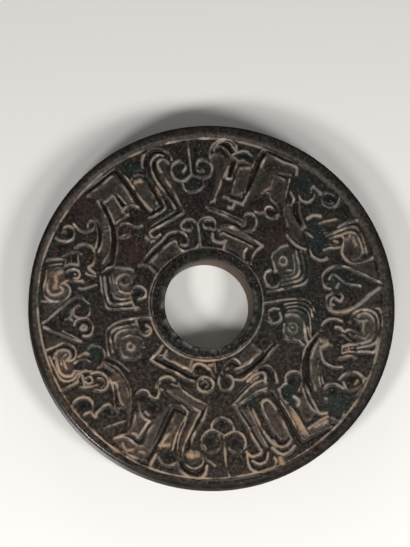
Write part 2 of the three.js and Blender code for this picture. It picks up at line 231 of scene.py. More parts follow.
    ridge(16.5, 60.3, 17.9, 58.4, 20.2, 58.4, 21.9, 57.6, 22.5, 56.6),
    pit(20.6, 60.1, size=1.5),
    wornAndGlint(18.6, 55.3, 22, 55.2, size=0.7),
    thread(14.9, 60.6, 16.6, 60.2),
    # slot
    ridge(18, 55.2, 16.6, 52.6, 14.5, 47.7, 14, 45.6),
    thread(14, 45.5, 15.6, 44.9, 17.9, 45.4),
    thread(22.6, 54.9, 20.7, 49.9, 19, 45.4),
    # ell
    ridge(17.3, 40.3, 19, 42.7, 21.7, 46.5, 24.5, 51.3, 27.3, 56, 30.2, 60.3),
    ridge(30.2, 60.3, 33, 58.4, 36.4, 56.1, 39.9, 54.4, 41.8, 52.8, 41.3, 50.5),
    thread(24.8, 58.4, 26.7, 60.5, 28.8, 62.3),
    groove(28.8, 60.6, 26.2, 56.1, 23.5, 51.6, 20.7, 47.1, 17.9, 42.6),
    groove(29.9, 62.4, 33.1, 60.6, 37.6, 57.8, 42.1, 55.2),
    # squiggle
    ridge(10.1, 44.5, 11.8, 43.8, 12.9, 42.8, 14.9, 41.7, 17.4, 40.4),
    ridge(14.4, 42, 13.9, 40.6, 12.6, 39.3, 11.5, 40),
    wornAndGlint(11.9, 43.3, 12.6, 42.5, size=0.7),
    # nest
    ridge(31.9, 50.9, 34.1, 49.9, 35.8, 48.7),
    ridge(31.9, 50.9, 31, 48.7, 29.6, 46.2, 28, 45.4, 26.2, 44.7),
    groove(34.4, 50.9, 37.5, 49.8, 38.7, 49.2, 37.8, 46.5, 36.6, 43.1, 35.4, 40.3),
    ridge(38.4, 48.9, 37.4, 46.2, 36.1, 43, 35.1, 40.3, 34.4, 38.5),
    # neck
    ridge(26.5, 44.8, 28.8, 43.7, 29.5, 41.4, 31.2, 39.3, 32, 37.2, 32, 34.9, 30.8, 33.4, 28.6, 33.1,
        26.9, 34.5, 26.2, 36.3, 26.8, 37.8, 28.6, 38.2, 29.7, 37.4),
    # ring
    pit(28.9, 35.9, size=1.2),
    wornAndGlint(30.6, 33.8, 31.4, 34.4, size=0.7),
    ridge(26.2, 36.3, 24.1, 36, 22.3, 36.6),
    wornAndGlint(22, 37, 22.3, 36.6, size=0.5),
    # crescent
    ridge(34.4, 38.1, 34.1, 35.2, 34.5, 31.9, 34.7, 29.8),
    # bridge
    thread(34.4, 38.2, 37.5, 37.8),
    # crescent
    ridge(37.5, 37.8, 38.7, 40.3, 37.8, 43.6),
    wornAndGlint(37.8, 43.1, 38.4, 40.9, size=0.7),
    ridge(36.8, 36.3, 37.5, 32.9, 38.7, 30.1, 40.3, 27.8),
    ridge(40.7, 38.5, 40.5, 34.7, 41.1, 31.5, 41.8, 29),
    groove(38.9, 38.1, 38.9, 34.1, 39.8, 30.7, 40.9, 29),
    wornAndGlint(40.6, 27.8, 41.8, 28.1, size=1.2),
    # jaw
    ridge(34.1, 25.5, 35.8, 22.8, 38.6, 20, 41, 18.8),
    thread(42, 26.2, 44.4, 23.6),
    # rim curl
    ridge(50.7, 40.6, 50.3, 38.6, 50.9, 36.7, 52.7, 35.5, 55.1, 35.4, 56.9, 36.9, 57.5, 39.2),
    thread(50.8, 40.9, 52.2, 41.5, 54.3, 41.2, 55.4, 40.2),
    thread(51.6, 37.6, 53, 36.8, 54.6, 36.9),
    pit(53.9, 38.9, size=1.8),
    # inner curl
    ridge(41, 41.4, 41.8, 39.3, 44.3, 38.3, 46.3, 39.3, 47.5, 40.9),
    wornAndGlint(47.6, 44.5, 48.7, 43.1, 50.3, 41, size=0.8),
    thread(47.5, 44.8, 46.4, 43.9, 46, 42.6),
    # arch
    ridge(43.1, 31.5, 44.8, 32.4, 47.1, 32.5, 48.6, 32),
    # ladder
    wornAndGlint(47.9, 29, 51.6, 29.7, 55.3, 30.1, size=0.6),
    thread(49.8, 27.3, 50.5, 25.1),
    # square
    ridge(55.6, 26.7, 59.5, 28.1, 63.6, 28.7),
    ridge(50.2, 23.6, 54.4, 24.7, 58.4, 25.9, 61.3, 26.2, 63.5, 25.2, 64.7, 22.7, 65.6, 18.3, 65.7, 15),
    ridge(51, 22.5, 55.6, 23.1, 59.2, 24, 61.8, 23.5, 63, 21.5, 64, 17.7, 64.2, 15.5, 62.9, 13.8,
        60.2, 12.9),
    thread(50.8, 22.5, 51.2, 20.1, 52.5, 19.4),
    ridge(56.7, 22.9, 57, 20.6, 56.1, 18.2, 55.6, 15.5, 56.8, 13.1, 58.8, 11.2, 61.9, 11, 65.2, 11.5,
        68, 12.4),
    thread(60.2, 12.9, 62.9, 13.1, 64.7, 14.8),
    wornAndGlint(60.9, 21.4, 61.7, 18.3, size=1),
    ridge(57, 20.6, 59.3, 21.5, 59.8, 22.7),
    wornAndGlint(53, 21.1, 54.4, 20.6, size=0.7),
    # ladder
    wornAndGlint(48.3, 17.6, 50.8, 18.4, 53.6, 18, 56.1, 18.2, size=0.6),
    # lens
    ridge(42.9, 20.6, 42.6, 18.3, 43.1, 16.1, 44.8, 14.5, 47, 13.6, 49.2, 14.3),
    wornAndGlint(44.3, 15.2, 44.6, 14.9, size=0.5),
    wornAndGlint(48.6, 14.3, 49.1, 14.3, size=0.5),
    # eye
    ridge(40.4, 18.8, 41.2, 16.1, 41.2, 10.4, 40.1, 6.5, 37.5, 4.5, 33, 3.9, 28.5, 3.4, 22.8, 3.1),
    ridge(38.9, 18.3, 39.3, 12.1, 38.9, 9, 36.9, 6.5, 33, 5.8, 29.6, 5.6),
    ridge(36.9, 18.2, 37.3, 12.1, 36.8, 9.3, 34.7, 7.8, 29.6, 7.4),
    thread(35.2, 17.2, 35.4, 12.1, 34.1, 9.5, 31.3, 9.1),
    ridge(33.7, 21.4, 30.7, 20.9, 28, 19.4, 26.6, 17.3, 26.9, 14.9, 27.3, 11.5),
    ridge(32.6, 15, 32.1, 13.9, 31, 13.4, 29.9, 13.9, 29.4, 15, 29.9, 16.2, 31, 16.7, 32.1, 16.2, 32.6, 15),
    wornAndGlint(31.9, 11, 34.1, 10.5, size=0.5),
    # collar curl
    ridge(25.5, 12, 23.5, 11.2, 22.5, 9.2, 23.2, 6.5, 25.1, 4.7, 27.5, 5.3, 28.8, 7.1),
    wornAndGlint(27.1, 11.3, 27.6, 11.5, size=0.7),
    # eye
    wornAndGlint(27.6, 3.2, 29.1, 3.5, size=0.6),
    # bracket
    ridge(16.3, 16.3, 15.3, 17.3, 15.5, 20, 16.7, 21.7),
    ridge(17.5, 15.5, 18.4, 17.7, 20.7, 20.6, 23.4, 22.4),
    ridge(6.2, 30.6, 7.9, 31.5, 11, 31.5, 14.9, 29, 18.1, 27, 21.1, 24.3, 23.4, 22.4),
    wornAndGlint(6.7, 28.8, 8.3, 29.1, 11.1, 27.2, 15, 25, 19.2, 22.5, size=0.6),
    groove(9.3, 29.7, 12.8, 27.8, 17.3, 25, 20.8, 22.7),
    ridge(3.6, 29.5, 3.5, 27.2, 5, 25.8, 7.1, 25.5, 8.8, 26.1),
    ridge(8.8, 26.1, 7.9, 24.6, 7.4, 22.7),
    # axis curl
    ridge(-1.7, 34.1, -1.3, 35.5, 0.5, 36.4, 3.2, 36.5, 4.9, 35, 5.3, 32.9, 4.5, 31.2, 3.2, 31.5),
    ridge(3.2, 31.9, 0.9, 32.4, 0.1, 34.1, 1.2, 35.4, 3.2, 35.4),
    wornAndGlint(3, 32, 3.4, 31.6, size=0.6),
    # heart
    ridge(69.9, 1.8, 65.2, 4.8, 60.1, 7.8, 56.7, 9.7, 52.3, 10.4, 48.9, 9.6, 46.6, 7.6, 46, 4.8, 47, 2.5,
        48.9, 1.3),
    ridge(49.1, 5.8, 50.5, 7.3, 52.3, 6.7, 54.5, 4.2, 57.9, 2.3, 61.3, 1.4),
    wornAndGlint(51.3, 1.9, 52.6, 3.2, size=0.7),
    # lower left quarter
    # heart
    ridge(-69.2, -1.3, -65.7, -3.4, -61.2, -5.9, -57.8, -7.8, -55.2, -8.7),
    thread(-62.2, -3.6, -58.9, -5.9, -55.6, -8.2),
    ridge(-56.9, -1.5, -55.9, 0, -53.3, 0.6, -50.7, 0, -49.5, -2.5, -49.9, -5.3, -51.6, -6.8, -53.9, -6.5),
    ridge(-54.4, -3.4, -53.5, -2.4, -52.4, -2.9, -52.7, -4.1, -54, -4.1),
    wornAndGlint(-58.4, 1.4, -57.5, -0.3, size=0.7),
    # eye
    ridge(-25.2, -2.2, -30.2, -1.8, -34.7, -2.1, -38.6, -2.5, -42, -3.8, -44.2, -5.9, -44.8, -9.3,
        -44.6, -12.7, -44.5, -15.6),
    ridge(-32.9, -4.4, -37.5, -4.8, -40.8, -5.4, -42.8, -7.4, -43.1, -10.4, -42.8, -14.4),
    ridge(-32.4, -6.1, -37.4, -6.2, -40.2, -7.4, -41.2, -9.4, -41, -12.8),
    # collar curl
    ridge(-31.9, -2.6, -31.5, -5, -30.6, -7.7, -28.9, -9.6, -26.8, -8.7, -26.4, -6.8, -27.9, -5.2),
    pit(-29, -5.2, size=1.1),
    wornAndGlint(-28.4, -8.2, -27.1, -7.5, size=0.7),
    # eye
    ridge(-33.8, -13.1, -34.2, -14.1, -35.2, -14.6, -36.3, -14.1, -36.7, -13.1, -36.3, -12.1, -35.2, -11.7,
        -34.2, -12.1, -33.8, -13.1),
    thread(-38.2, -9.4, -35.1, -8.7, -31.9, -9.4, -30.2, -11.1, -30.1, -13.9),
    ridge(-39.1, -11.5, -39.5, -14.5, -38.6, -17.2, -36.3, -18.1, -32.9, -17.8, -31.7, -16.5),
    wornAndGlint(-38.1, -17.6, -36.8, -17.2, size=0.5),
    # bracket
    ridge(-22.5, -14.1, -24.4, -16.6, -27.8, -19.2),
    ridge(-27.8, -19.2, -26.1, -20.9, -22.7, -23.2, -18.2, -25.8, -14.8, -28.5, -10.9, -30.4),
    ridge(-21, -16.6, -22.2, -18.7, -20.5, -20.6, -18.2, -21.7, -15.4, -23.8, -12.7, -25),
    groove(-25.1, -19.7, -21.1, -22, -17.2, -24.5, -13.2, -27.3, -10.9, -28.5),
    wornAndGlint(-11.2, -22, -12.4, -25.3, size=1),
    thread(-24, -18, -21.1, -18.4),
    # cup
    ridge(-12.1, -26.2, -10.9, -24.1, -9.1, -23.2, -6.5, -24.2, -4.5, -26.3, -3.4, -28.9),
    groove(-10, -24.6, -8.6, -24.1, -6.5, -25.3, -4.9, -27.3),
    # axis curl
    ridge(-10.3, -31.4, -9.5, -29.6, -7.5, -28.9, -5.2, -29.4, -3.8, -31.1, -3.9, -33.3, -5.8, -34.9,
        -8.3, -34.6, -10, -33, -10.3, -31.4),
    wornAndGlint(-8, -29.6, -7.7, -29.9, size=0.5),
    wornAndGlint(-4.8, -29.6, -4.3, -29.9, size=0.5),
    thread(-8.6, -31.3, -7, -30.5, -5.8, -31.9, -6.8, -33.1),
    wornAndGlint(-4.2, -24.5, -3.1, -24.5, size=1),
    # square
    ridge(-69.3, -10.8, -65.7, -9.9, -62.3, -8.7, -59.4, -9.6, -57.7, -11.9, -57.8, -14.4, -59.4, -16.1,
        -61.7, -16.1),
    ridge(-61.7, -16.1, -60.1, -14.4, -60.3, -12.6, -62.2, -11.5, -65.2, -12.1, -66.6, -14.4),
    ridge(-68.5, -13.9, -67.5, -17.2, -66.5, -20.1, -65.4, -22.6, -63.3, -24.3, -60.1, -24, -57.7, -21.9,
        -54.3, -20.9),
    ridge(-65.9, -14.4, -65.4, -18.9, -63.7, -21.9, -60.6, -22.4, -58.8, -20.6),
    wornAndGlint(-63.2, -15.6, -62.2, -19.2, size=0.6),
    thread(-63.9, -17.3, -63.9, -15, -61.7, -13.3),
    ridge(-65.2, -27.5, -62.2, -26.6, -59.4, -25.7, -58.3, -24.9),
    # lens
    wornAndGlint(-56.6, -15, -54.1, -13.9, -52.7, -14.3, size=0.8),
    # arch
    ridge(-53.6, -13, -52.2, -11.3, -49.3, -10.8, -47.1, -12.1, -46.2, -15.5, -47.7, -18.9, -49.3, -20.3),
    thread(-58.9, -17.4, -56.6, -16.1, -53.9, -16.1, -52.2, -17.2),
    thread(-58.8, -20.6, -55.6, -21.1, -52.2, -21.5),
    # box
    ridge(-56.3, -22.4, -56, -25, -55.7, -27.3),
    ridge(-55.1, -24.1, -53, -23.7, -52.4, -25.7, -54.2, -26.4, -55.2, -25.3),
    wornAndGlint(-57.5, -27.3, -54.3, -27.7, -50.5, -27.3, size=0.6),
    # swirl
    ridge(-52.4, -22.2, -48.9, -22.2, -46.5, -24.3, -46.1, -27.2, -48.1, -29.6, -51.5, -29.1),
    thread(-49.9, -24.5, -48, -25.1, -47.7, -27.3, -49.1, -28.5),
    thread(-58.4, -24.5, -57.2, -22.8, -56.3, -22.4),
    # crescent
    ridge(-47.7, -17.9, -44.7, -19.2, -41.9, -21.1, -39.6, -24.5, -38, -28, -37.5, -31.9, -38.1, -37.5,
        -39.6, -43.1, -40.5, -47.7),
    ridge(-47.1, -19, -43.1, -22.3, -40.8, -25.1, -39.1, -29, -38.4, -33.1),
    groove(-46, -16.6, -42, -18.7, -38.5, -22.3, -37.3, -23.8),
    # small crescent
    ridge(-45.3, -25.2, -44.3, -29.4, -44.4, -34.1, -44.3, -37),
    ridge(-43.9, -27.3, -42.8, -27.9, -42.5, -31.9, -41.9, -35.4, -40.8, -36.9),
    groove(-44.7, -27.3, -43.8, -31.9, -44, -36.4),
    # bridge
    thread(-43.9, -27.3, -41.3, -26.2),
    ridge(-45.4, -37, -43.1, -37.6, -40.8, -36.8),
    # rim curl
    ridge(-61.9, -34.2, -60.1, -32.4, -57.2, -31.5, -54.7, -32.4, -53.3, -34.7, -54.3, -37.5, -57.2, -38.4),
    pit(-57.5, -35, size=1.8),
    # inner curl
    ridge(-54.4, -37.8, -52.8, -39.9, -52.1, -38.5, -49.8, -36.5, -47.1, -35.5, -44.8, -36.9, -43.7, -38.7),
    pit(-48.1, -38.4, size=1.6),
    # fold
    thread(-49.9, -44.8, -45.4, -44, -40.3, -42.9),
    # ring
    ridge(-35, -32.2, -32.9, -31.4, -30.6, -32, -29.7, -34.1, -27.6, -35.4, -26.2, -33.7, -25.1, -31.4),
    pit(-32.9, -34.6, size=1.6),
    pit(-29.5, -39, size=1.9),
    ridge(-34.6, -36.9, -34.8, -39.9, -33.4, -42.7, -31.2, -44.3, -29, -44.3),
    wornAndGlint(-32.4, -40.3, -31.4, -41.7, size=0.7),
    # tail
    ridge(-26.9, -30.8, -26.1, -28.6, -23.8, -27.3, -21, -27.3, -19.3, -28.8),
    ridge(-25.9, -32.2, -26.2, -30.3, -25.2, -29.1),
    wornAndGlint(-25.2, -31.9, -24.5, -32.2, size=0.5),
    pit(-22.4, -29.6, size=0.8),
    # arm
    ridge(-17.6, -30.5, -16.5, -33.1, -13.7, -35.8, -10.3, -38.3, -7.1, -40.4),
    ridge(-22.2, -32.5, -19.4, -35.2, -15.5, -38.5, -12.1, -41.5, -10.3, -42.7),
    thread(-20.6, -30.2, -18.2, -31.3, -17.7, -30.5),
    groove(-17.2, -31.9, -14.4, -34.7, -11, -37.5, -8.4, -40),
    # shank
    ridge(-7, -40.9, -9.3, -45.5, -12, -48.9, -14.8, -53.3, -16.1, -57.9),
    ridge(-10.3, -42.7, -12.7, -46.5, -15.4, -50.5, -17.7, -54.4, -19.4, -57.8),
    groove(-8, -41, -10.4, -45.4, -13.2, -49.4, -15.8, -53.6, -17.1, -57.3),
    # slot
    ridge(-22, -38.3, -19.9, -39, -17.1, -39.9, -15.5, -42.1),
    wornAndGlint(-17.7, -39.5, -16.3, -40.9, size=0.7),
    groove(-20.6, -40.3, -17.7, -41.7, -16.3, -43.1),
    ridge(-16.6, -44.3, -19.3, -47.7, -21.6, -52.2, -23.4, -56.7),
    thread(-15.5, -42.1, -17.1, -46.5, -19.9, -51.6, -21.6, -57.3),
    groove(-16.3, -46, -18.5, -49.6, -20.7, -53.6, -22.5, -57.3),
    groove(-20.6, -39.6, -23.5, -44.3, -27.3, -50.5, -30.1, -54.4, -33, -58.4, -34.7, -60.7),
    thread(-20.6, -42.6, -22.8, -46, -25.5, -50.5, -26.9, -53.3),
    wornAndGlint(-28.4, -54.5, -24.4, -54.9, size=1),
    pit(-25.5, -59.2, size=2),
    ridge(-29.1, -56.1, -29.1, -59.1, -27.5, -61.9, -24.5, -63, -21.8, -61.3, -21, -58.4),
    # hook
    wornAndGlint(-17.1, -59.5, -13.8, -60.1, size=1.8),
    ridge(-19.4, -57.8, -19.8, -61.2, -18.3, -64, -15.5, -65.4, -12.7, -64.6, -11.4, -62.2, -12.6, -59.1),
    groove(-20.6, -61.8, -19.2, -64.9, -16.1, -67, -12.7, -66.3, -10.9, -63.9),
    ridge(-21.9, -61.8, -21, -65.5, -18, -68.5, -14.5, -69.7, -11.5, -68.1, -10.3, -64.7),
    # fan
    thread(-12.1, -59.2, -10.1, -61.8, -7, -65.2),
    # ell
    ridge(-21.1, -47.7, -26.2, -52.3, -29, -56.2, -31.7, -60.1, -33.4, -62.7),
    ridge(-27.3, -42.6, -29.5, -45.2, -32.4, -48.9, -35.1, -53.9),
    ridge(-46.2, -49.5, -42.5, -49.1, -39.6, -51.2, -37.4, -53.3, -35.1, -53.9),
    ridge(-43.1, -55, -40.3, -57.3, -37.4, -58.7, -34.8, -59.8),
    groove(-43.1, -56.1, -40.3, -58.2, -37.5, -59.8, -34.8, -61.1),
    wornAndGlint(-43.1, -52.2, -41.9, -55, -39.6, -55.1, size=0.8),
    wornAndGlint(-36.6, -56.1, -35.2, -56.7, size=0.8),
    # nest
    ridge(-36.6, -40.3, -37.4, -43.3, -39.9, -47.8, -37.4, -48.9, -36.6, -50.3, -34, -47.1, -31.7, -44.7,
        -29.6, -44.4),
    ridge(-39.8, -47.7, -40.9, -48.2, -46.2, -49.5),
    # fork
    ridge(-6.5, -50.5, -6, -48.3, -4.2, -46.5, -1.9, -45.9),
    pit(-2.2, -48.3, size=1.8),
    # eye
    ridge(29.4, -7.5, 31.6, -7.3, 34.2, -8.4, 35.8, -9.8, 36.3, -13, 36.2, -17, 36.9, -20),
    wornAndGlint(34.9, -20.2, 35, -20.4, size=0.7),
    thread(31.6, -17.6, 33.4, -18.4, 34.4, -19.4),
    # fork
    ridge(-1.9, -53.6, -4.2, -51.6, -6.8, -50.6, -9.4, -51.5, -11.2, -53.8, -11.3, -56.7, -9.6, -58.9,
        -7, -59.4, -4.5, -57.9, -3.6, -55.1, -4.2, -52.6),
    wornAndGlint(-10.6, -56.7, -9.7, -58.2, size=0.5),
    pit(-7.5, -55.3, size=1.7),
    # lower right quarter
    # fork
    ridge(-1.9, -53.6, -0.4, -53.1, 2, -52.3, 4.6, -53.2, 6.2, -55.3, 6.3, -58.1, 5.2, -59.8, 3, -60.6,
        0.6, -60, -0.6, -58.6),
    pit(2, -56.7, size=1.7),
    ridge(-1.9, -45.9, 0.2, -46.8, 2.1, -49, 2.4, -51.6),
    pit(-1.9, -48.6, size=1.8),
    # heart
    ridge(69.1, -0.3, 65.7, -2.3, 61.8, -5.1, 57.3, -7.6, 53.3, -8.7, 50, -8.4, 47.7, -7),
    ridge(47.7, -7, 46.6, -4.8, 47, -1.7, 49.5, 0),
    ridge(48.2, -6.5, 48.1, -4.2, 49.7, -2.2, 52.1, -3.9, 53.5, -2.3, 52.8, -0.9),
    pit(51.6, -2.1, size=1),
    wornAndGlint(48.2, -4.7, 49.2, -5.2, size=0.7),
    wornAndGlint(69, -0.6, 65.7, -2.1, 61.8, -4.7, 57.3, -7.2, 53.3, -8.3, 50.4, -8.1, size=0.8),
    # eye
    thread(21, -1.2, 24, -1.3, 29.6, -0.9, 34.7, -1.1, 38.6, -1.9, 40.6, -3.6, 41.1, -6.4),
    thread(29.6, -2.8, 34.1, -2.6, 37, -3, 38.9, -4.2, 39.8, -6.3, 40, -9),
    thread(30.2, -4.3, 34, -4.2, 36.6, -4.9, 38.3, -6.6, 38.8, -9.4),
    thread(30.4, -5.8, 33.6, -5.8, 36, -6.7, 37.2, -8.4, 37.6, -11.5, 37.8, -15.5, 38.6, -18.4),
    wornAndGlint(38.9, -9.6, 38.7, -13, 38.4, -17, size=0.45),
    ridge(33.3, -12.8, 32.8, -14.1, 31.5, -14.7, 30.2, -14.1, 29.6, -12.8, 30.2, -11.4, 31.5, -10.9,
        32.8, -11.4, 33.3, -12.8),
    wornAndGlint(31.2, -12.6, 31.7, -13, size=0.5),
    ridge(28.2, -11.3, 27.6, -13.8, 27.9, -16.6, 29.6, -17.8, 31.9, -18.3),
    wornAndGlint(31.3, -17.1, 32, -17.9, size=0.6),
    wornAndGlint(28, -15.9, 28.6, -16.6, size=0.5),
    # collar curl
    ridge(22.4, -6, 21.9, -7.6, 22.8, -9.5, 24.5, -10, 26.2, -9.6, 27.3, -8.2, 27, -6.2),
    wornAndGlint(22.3, -7.6, 23.2, -9.2, size=0.6),
    wornAndGlint(26.2, -9.1, 26.8, -8.7, size=0.5),
    thread(22.8, -4.7, 24.7, -3.9, 26.7, -4.5),
    # cheek
    ridge(18.5, -6.5, 17.8, -10.4, 15.8, -14.4, 14.4, -17),
    # bracket
    ridge(14.5, -17.4, 16.2, -19.7, 17.4, -21.2),
    ridge(17.4, -21.2, 14.9, -23.2, 11.5, -25.4, 9.1, -26.3, 5.9, -26.9),
    wornAndGlint(15.6, -22.2, 12.1, -24.5, 8.7, -26.2, size=0.6),
    ridge(24.1, -18.7, 22.3, -20.5, 19.6, -23.2, 16.1, -26.4, 11.5, -29.7, 8.3, -31.7, 4.9, -31.2),
    groove(22.4, -19.3, 19, -22.3, 14.9, -25.1, 10.5, -27.9, 7, -29.5),
    # cup
    ridge(0.3, -27.9, 1.7, -25.4, 4.3, -23.2, 6.5, -23.1, 8.2, -25.1),
    groove(1.4, -27.3, 3, -25, 5.1, -24.2, 6.8, -25.5),
    # axis curl
    ridge(-0.9, -29.4, -1.5, -32, -0.1, -34.7, 2.7, -34.9, 4.5, -32.5, 4.1, -30.2, 2.4, -28.9),
    pit(1.5, -31.3, size=1.2),
    wornAndGlint(3.3, -34.1, 4.1, -33.3, size=0.5),
    wornAndGlint(2.4, -26.8, 3, -26.2, size=0.6),
    # arm
    ridge(3.4, -41.5, 7.9, -37.7, 12.8, -34.2, 16.6, -33.1, 17.8, -33.9),
    ridge(4.3, -42.7, 8.8, -40, 13.3, -37.6, 17.9, -36.3),
    groove(4.1, -40.2, 8.2, -36.7, 11.5, -34.1),
    wornAndGlint(11.5, -33.1, 14.9, -31.2, size=0.7),
    # tail
    ridge(10.4, -32.5, 13.2, -30.4, 16.6, -29.4, 17.9, -31, 17.3, -33.7),
    ridge(14.3, -28.8, 16.7, -27, 19.9, -27.3, 21.7, -29.7, 22.3, -34.1),
    groove(16.1, -28.5, 18.3, -28.2, 20.1, -29.9, 20.8, -33),
    # corner
    wornAndGlint(3.5, -41.3, 4.3, -41.8, size=0.6),
    # shank
    ridge(4.3, -42.4, 5.4, -45.5, 7.7, -50, 9.7, -55.6, 12, -60.5),
    wornAndGlint(6.5, -47.9, 8.8, -52.2, size=0.5),
    ridge(11, -44.3, 13.2, -51, 16.1, -57, 18.7, -60.3),
    thread(9.1, -43.1, 11, -48.8, 12.8, -54.4, 14.9, -59.5),
    groove(6.4, -44.8, 8.7, -49.6, 10.9, -55, 13, -59.5),
    # rung
    thread(10, -51.5, 12.8, -50.8),
    # slot
    ridge(15.6, -41.5, 14.9, -43.1, 16.6, -48.8, 19, -54.4, 20.7, -57.4),
    ridge(15.9, -41.1, 17.8, -41.3, 19.6, -43.8, 21.5, -47.9, 23.5, -53.3, 25, -57.4),
    groove(18.8, -56.7, 20.8, -58.8, 23.2, -58.4, 24.5, -56.7),
    ridge(17.8, -57.8, 19.3, -60.1, 21.5, -60.7, 23.5, -60, 24.9, -58.2),
    ridge(17, -60.7, 19, -62.9, 21.1, -63.9, 23.5, -63.2, 25.9, -61),
    thread(12.4, -38.4, 14.9, -36.9, 17.5, -37.5),
    # hook
    ridge(12, -60.5, 12.8, -61.4, 11.1, -62.9, 8.4, -63.2, 6.4, -61.3),
    ridge(6.4, -61.3, 6.5, -65.5, 7.6, -68.4, 10, -69.8),
    ridge(8.2, -64.9, 11, -66.6, 13.8, -65.5, 15, -62.4),
    ridge(10, -69.8, 12.8, -70.5, 15.9, -69.6, 17.9, -66.4, 17.3, -64.7),
    pit(12.8, -67.7, size=1),
    wornAndGlint(19.6, -65.2, 20.3, -67.5, size=1.4),
    # ell
    groove(19.9, -38.2, 22.6, -44.6, 25.4, -51.6, 27.8, -57.4, 29.4, -60.5),
    groove(29.6, -60.3, 34.2, -58.3, 39.9, -55.9, 43.3, -53.9),
    ridge(26.2, -44.9, 28.5, -48.8, 30.2, -53.3, 32.1, -57.6),
    wornAndGlint(27.4, -48.2, 28.8, -51.6, 30.6, -55.4, size=1.7),
    thread(22.6, -41.9, 25, -47.2, 27.3, -53, 29.6, -58.2),
    ridge(32.5, -54.5, 35.4, -53.2, 38.2, -51.6, 41, -50.6),
    wornAndGlint(35.5, -54.2, 40.5, -52.4, size=1),
    ridge(42.6, -51, 44.4, -52.3, 46.1, -52.5, 47.7, -50.3),
    thread(32.1, -57.6, 37.6, -56.1, 42.1, -54.8),
    # nest
    ridge(32.4, -37.5, 33, -41.5, 34.7, -46, 36.4, -48.3),
    ridge(33.8, -36.9, 34.9, -41.5, 36.3, -44.9, 37.8, -48.8, 40.9, -49.1),
    groove(33.1, -39.2, 34.1, -43.1, 35.6, -46.6),
    pit(36, -49.5, size=0.7),
    # ring
    ridge(25.7, -34.5, 26.2, -32, 27.9, -30.7, 30.3, -30.7, 32.5, -31.6),
    wornAndGlint(31.2, -31.7, 31.9, -31.6, size=0.5),
    ridge(32.5, -31.9, 32.5, -35.2, 30.7, -38.6),
    pit(28.5, -34.8, size=1.5),
    pit(25.7, -39.5, size=1.2),
    ridge(22.8, -37.2, 23.3, -40.7, 25, -43.1),
    ridge(28.5, -40.8, 30.3, -42.6, 29.6, -44.6),
    wornAndGlint(29.1, -41.7, 29.6, -43.8, size=0.5),
    thread(22.8, -37.5, 24.5, -35.7, 26.2, -35.2),
    # crescent
    groove(42.1, -16.7, 38.7, -19.6, 36.5, -24, 35.4, -29.6, 34.7, -35.2, 35.5, -39.9),
    ridge(41.6, -15.9, 36.5, -20.6, 34.2, -24.5, 32.8, -29.6, 32.6, -34.7),
    ridge(42.1, -19, 39.5, -21.7, 37.5, -25.7, 36.8, -29.6, 36.6, -34.1, 37.5, -38.6),
    # beak
    ridge(42.1, -16.6, 42.4, -19.4, 45.9, -21.2),
    wornAndGlint(42, -19.3, 44.6, -20.8, 42, -22.4, size=1.3),
    # arch
    ridge(41.8, -21.7, 41.6, -24.5, 42.7, -28.5, 46.1, -30.7, 49.5, -31.1),
    ridge(42.6, -15, 43.7, -12.8, 46, -11.1, 49.4, -11, 51.9, -12.2),
    # small crescent
    thread(41, -30.2, 40.7, -34.1, 41, -36.9),
    thread(39.9, -29.6, 39.6, -34.1, 39.8, -37.5),
    # inner curl
    ridge(41.3, -38.7, 43.3, -37.5, 46.1, -37.8, 48.9, -39.8),
    pit(44.5, -40.7, size=1.5),
    wornAndGlint(41, -43.1, 41.6, -43.5, size=0.6),
    # rim curl
    ridge(48, -35.7, 50.5, -34.1, 53.4, -33.4, 56.2, -34.5, 57.9, -36.9, 56.8, -39.3, 54, -40.7,
        50.6, -40.3, 49.4, -37.5),
    pit(53, -36.9, size=1.9),
    wornAndGlint(53.9, -38.7, 55.1, -37.6, size=0.7),
    ridge(57.9, -36.9, 59.1, -36.9),
    # frill
    ridge(49.1, -14.4, 51, -14.9, 52.3, -16.6, 54.5, -16.2, 57.4, -17.3),
    thread(51.2, -17.9, 52.8, -19, 54.4, -20.7),
    ridge(54.4, -17.8, 56.1, -19, 57.8, -17.9),
    # square
    ridge(55.1, -12.8, 56.3, -10.2, 60.1, -8.6, 64.6, -9.5, 66.6, -12.1, 66.4, -17.2, 65.3, -21.7,
        62.9, -23.3, 56.8, -24),
    ridge(57.8, -11.7, 60.6, -10.1, 63.5, -11, 64.9, -13.3, 64.9, -17.8, 62.9, -21.1, 59.6, -22.3,
        56.8, -22.3),
    wornAndGlint(60.7, -13.9, 60.1, -17.8, size=0.7),
    thread(57.8, -11.7, 59.1, -13.3, 62.4, -13.2),
    ridge(57.9, -19, 60.1, -20.7, 62.3, -19),
    thread(66.8, -8.6, 68.4, -9.9, 68.3, -15.5, 66.9, -22),
    # ladder
    ridge(50.9, -22.9, 53.9, -22.3, 56.8, -22.6),
    thread(50.9, -22.9, 50.4, -25.3, 52.8, -25.1, 55.9, -25.5),
    thread(53.3, -22.6, 53.2, -25.1),
    ridge(49.2, -27.6, 52.6, -27, 55.7, -27.7),
    wornAndGlint(52, -24.2, 55, -23.9, size=0.5),
    # square
    ridge(56.7, -25.7, 60.6, -26, 63, -26.6, 64.6, -25, 65.3, -22.2),
    # ladder
    wornAndGlint(48.8, -27.1, 50, -27.3, size=0.5),
    # rim curl
    ridge(54.4, -42.6, 56.9, -39.9),
]

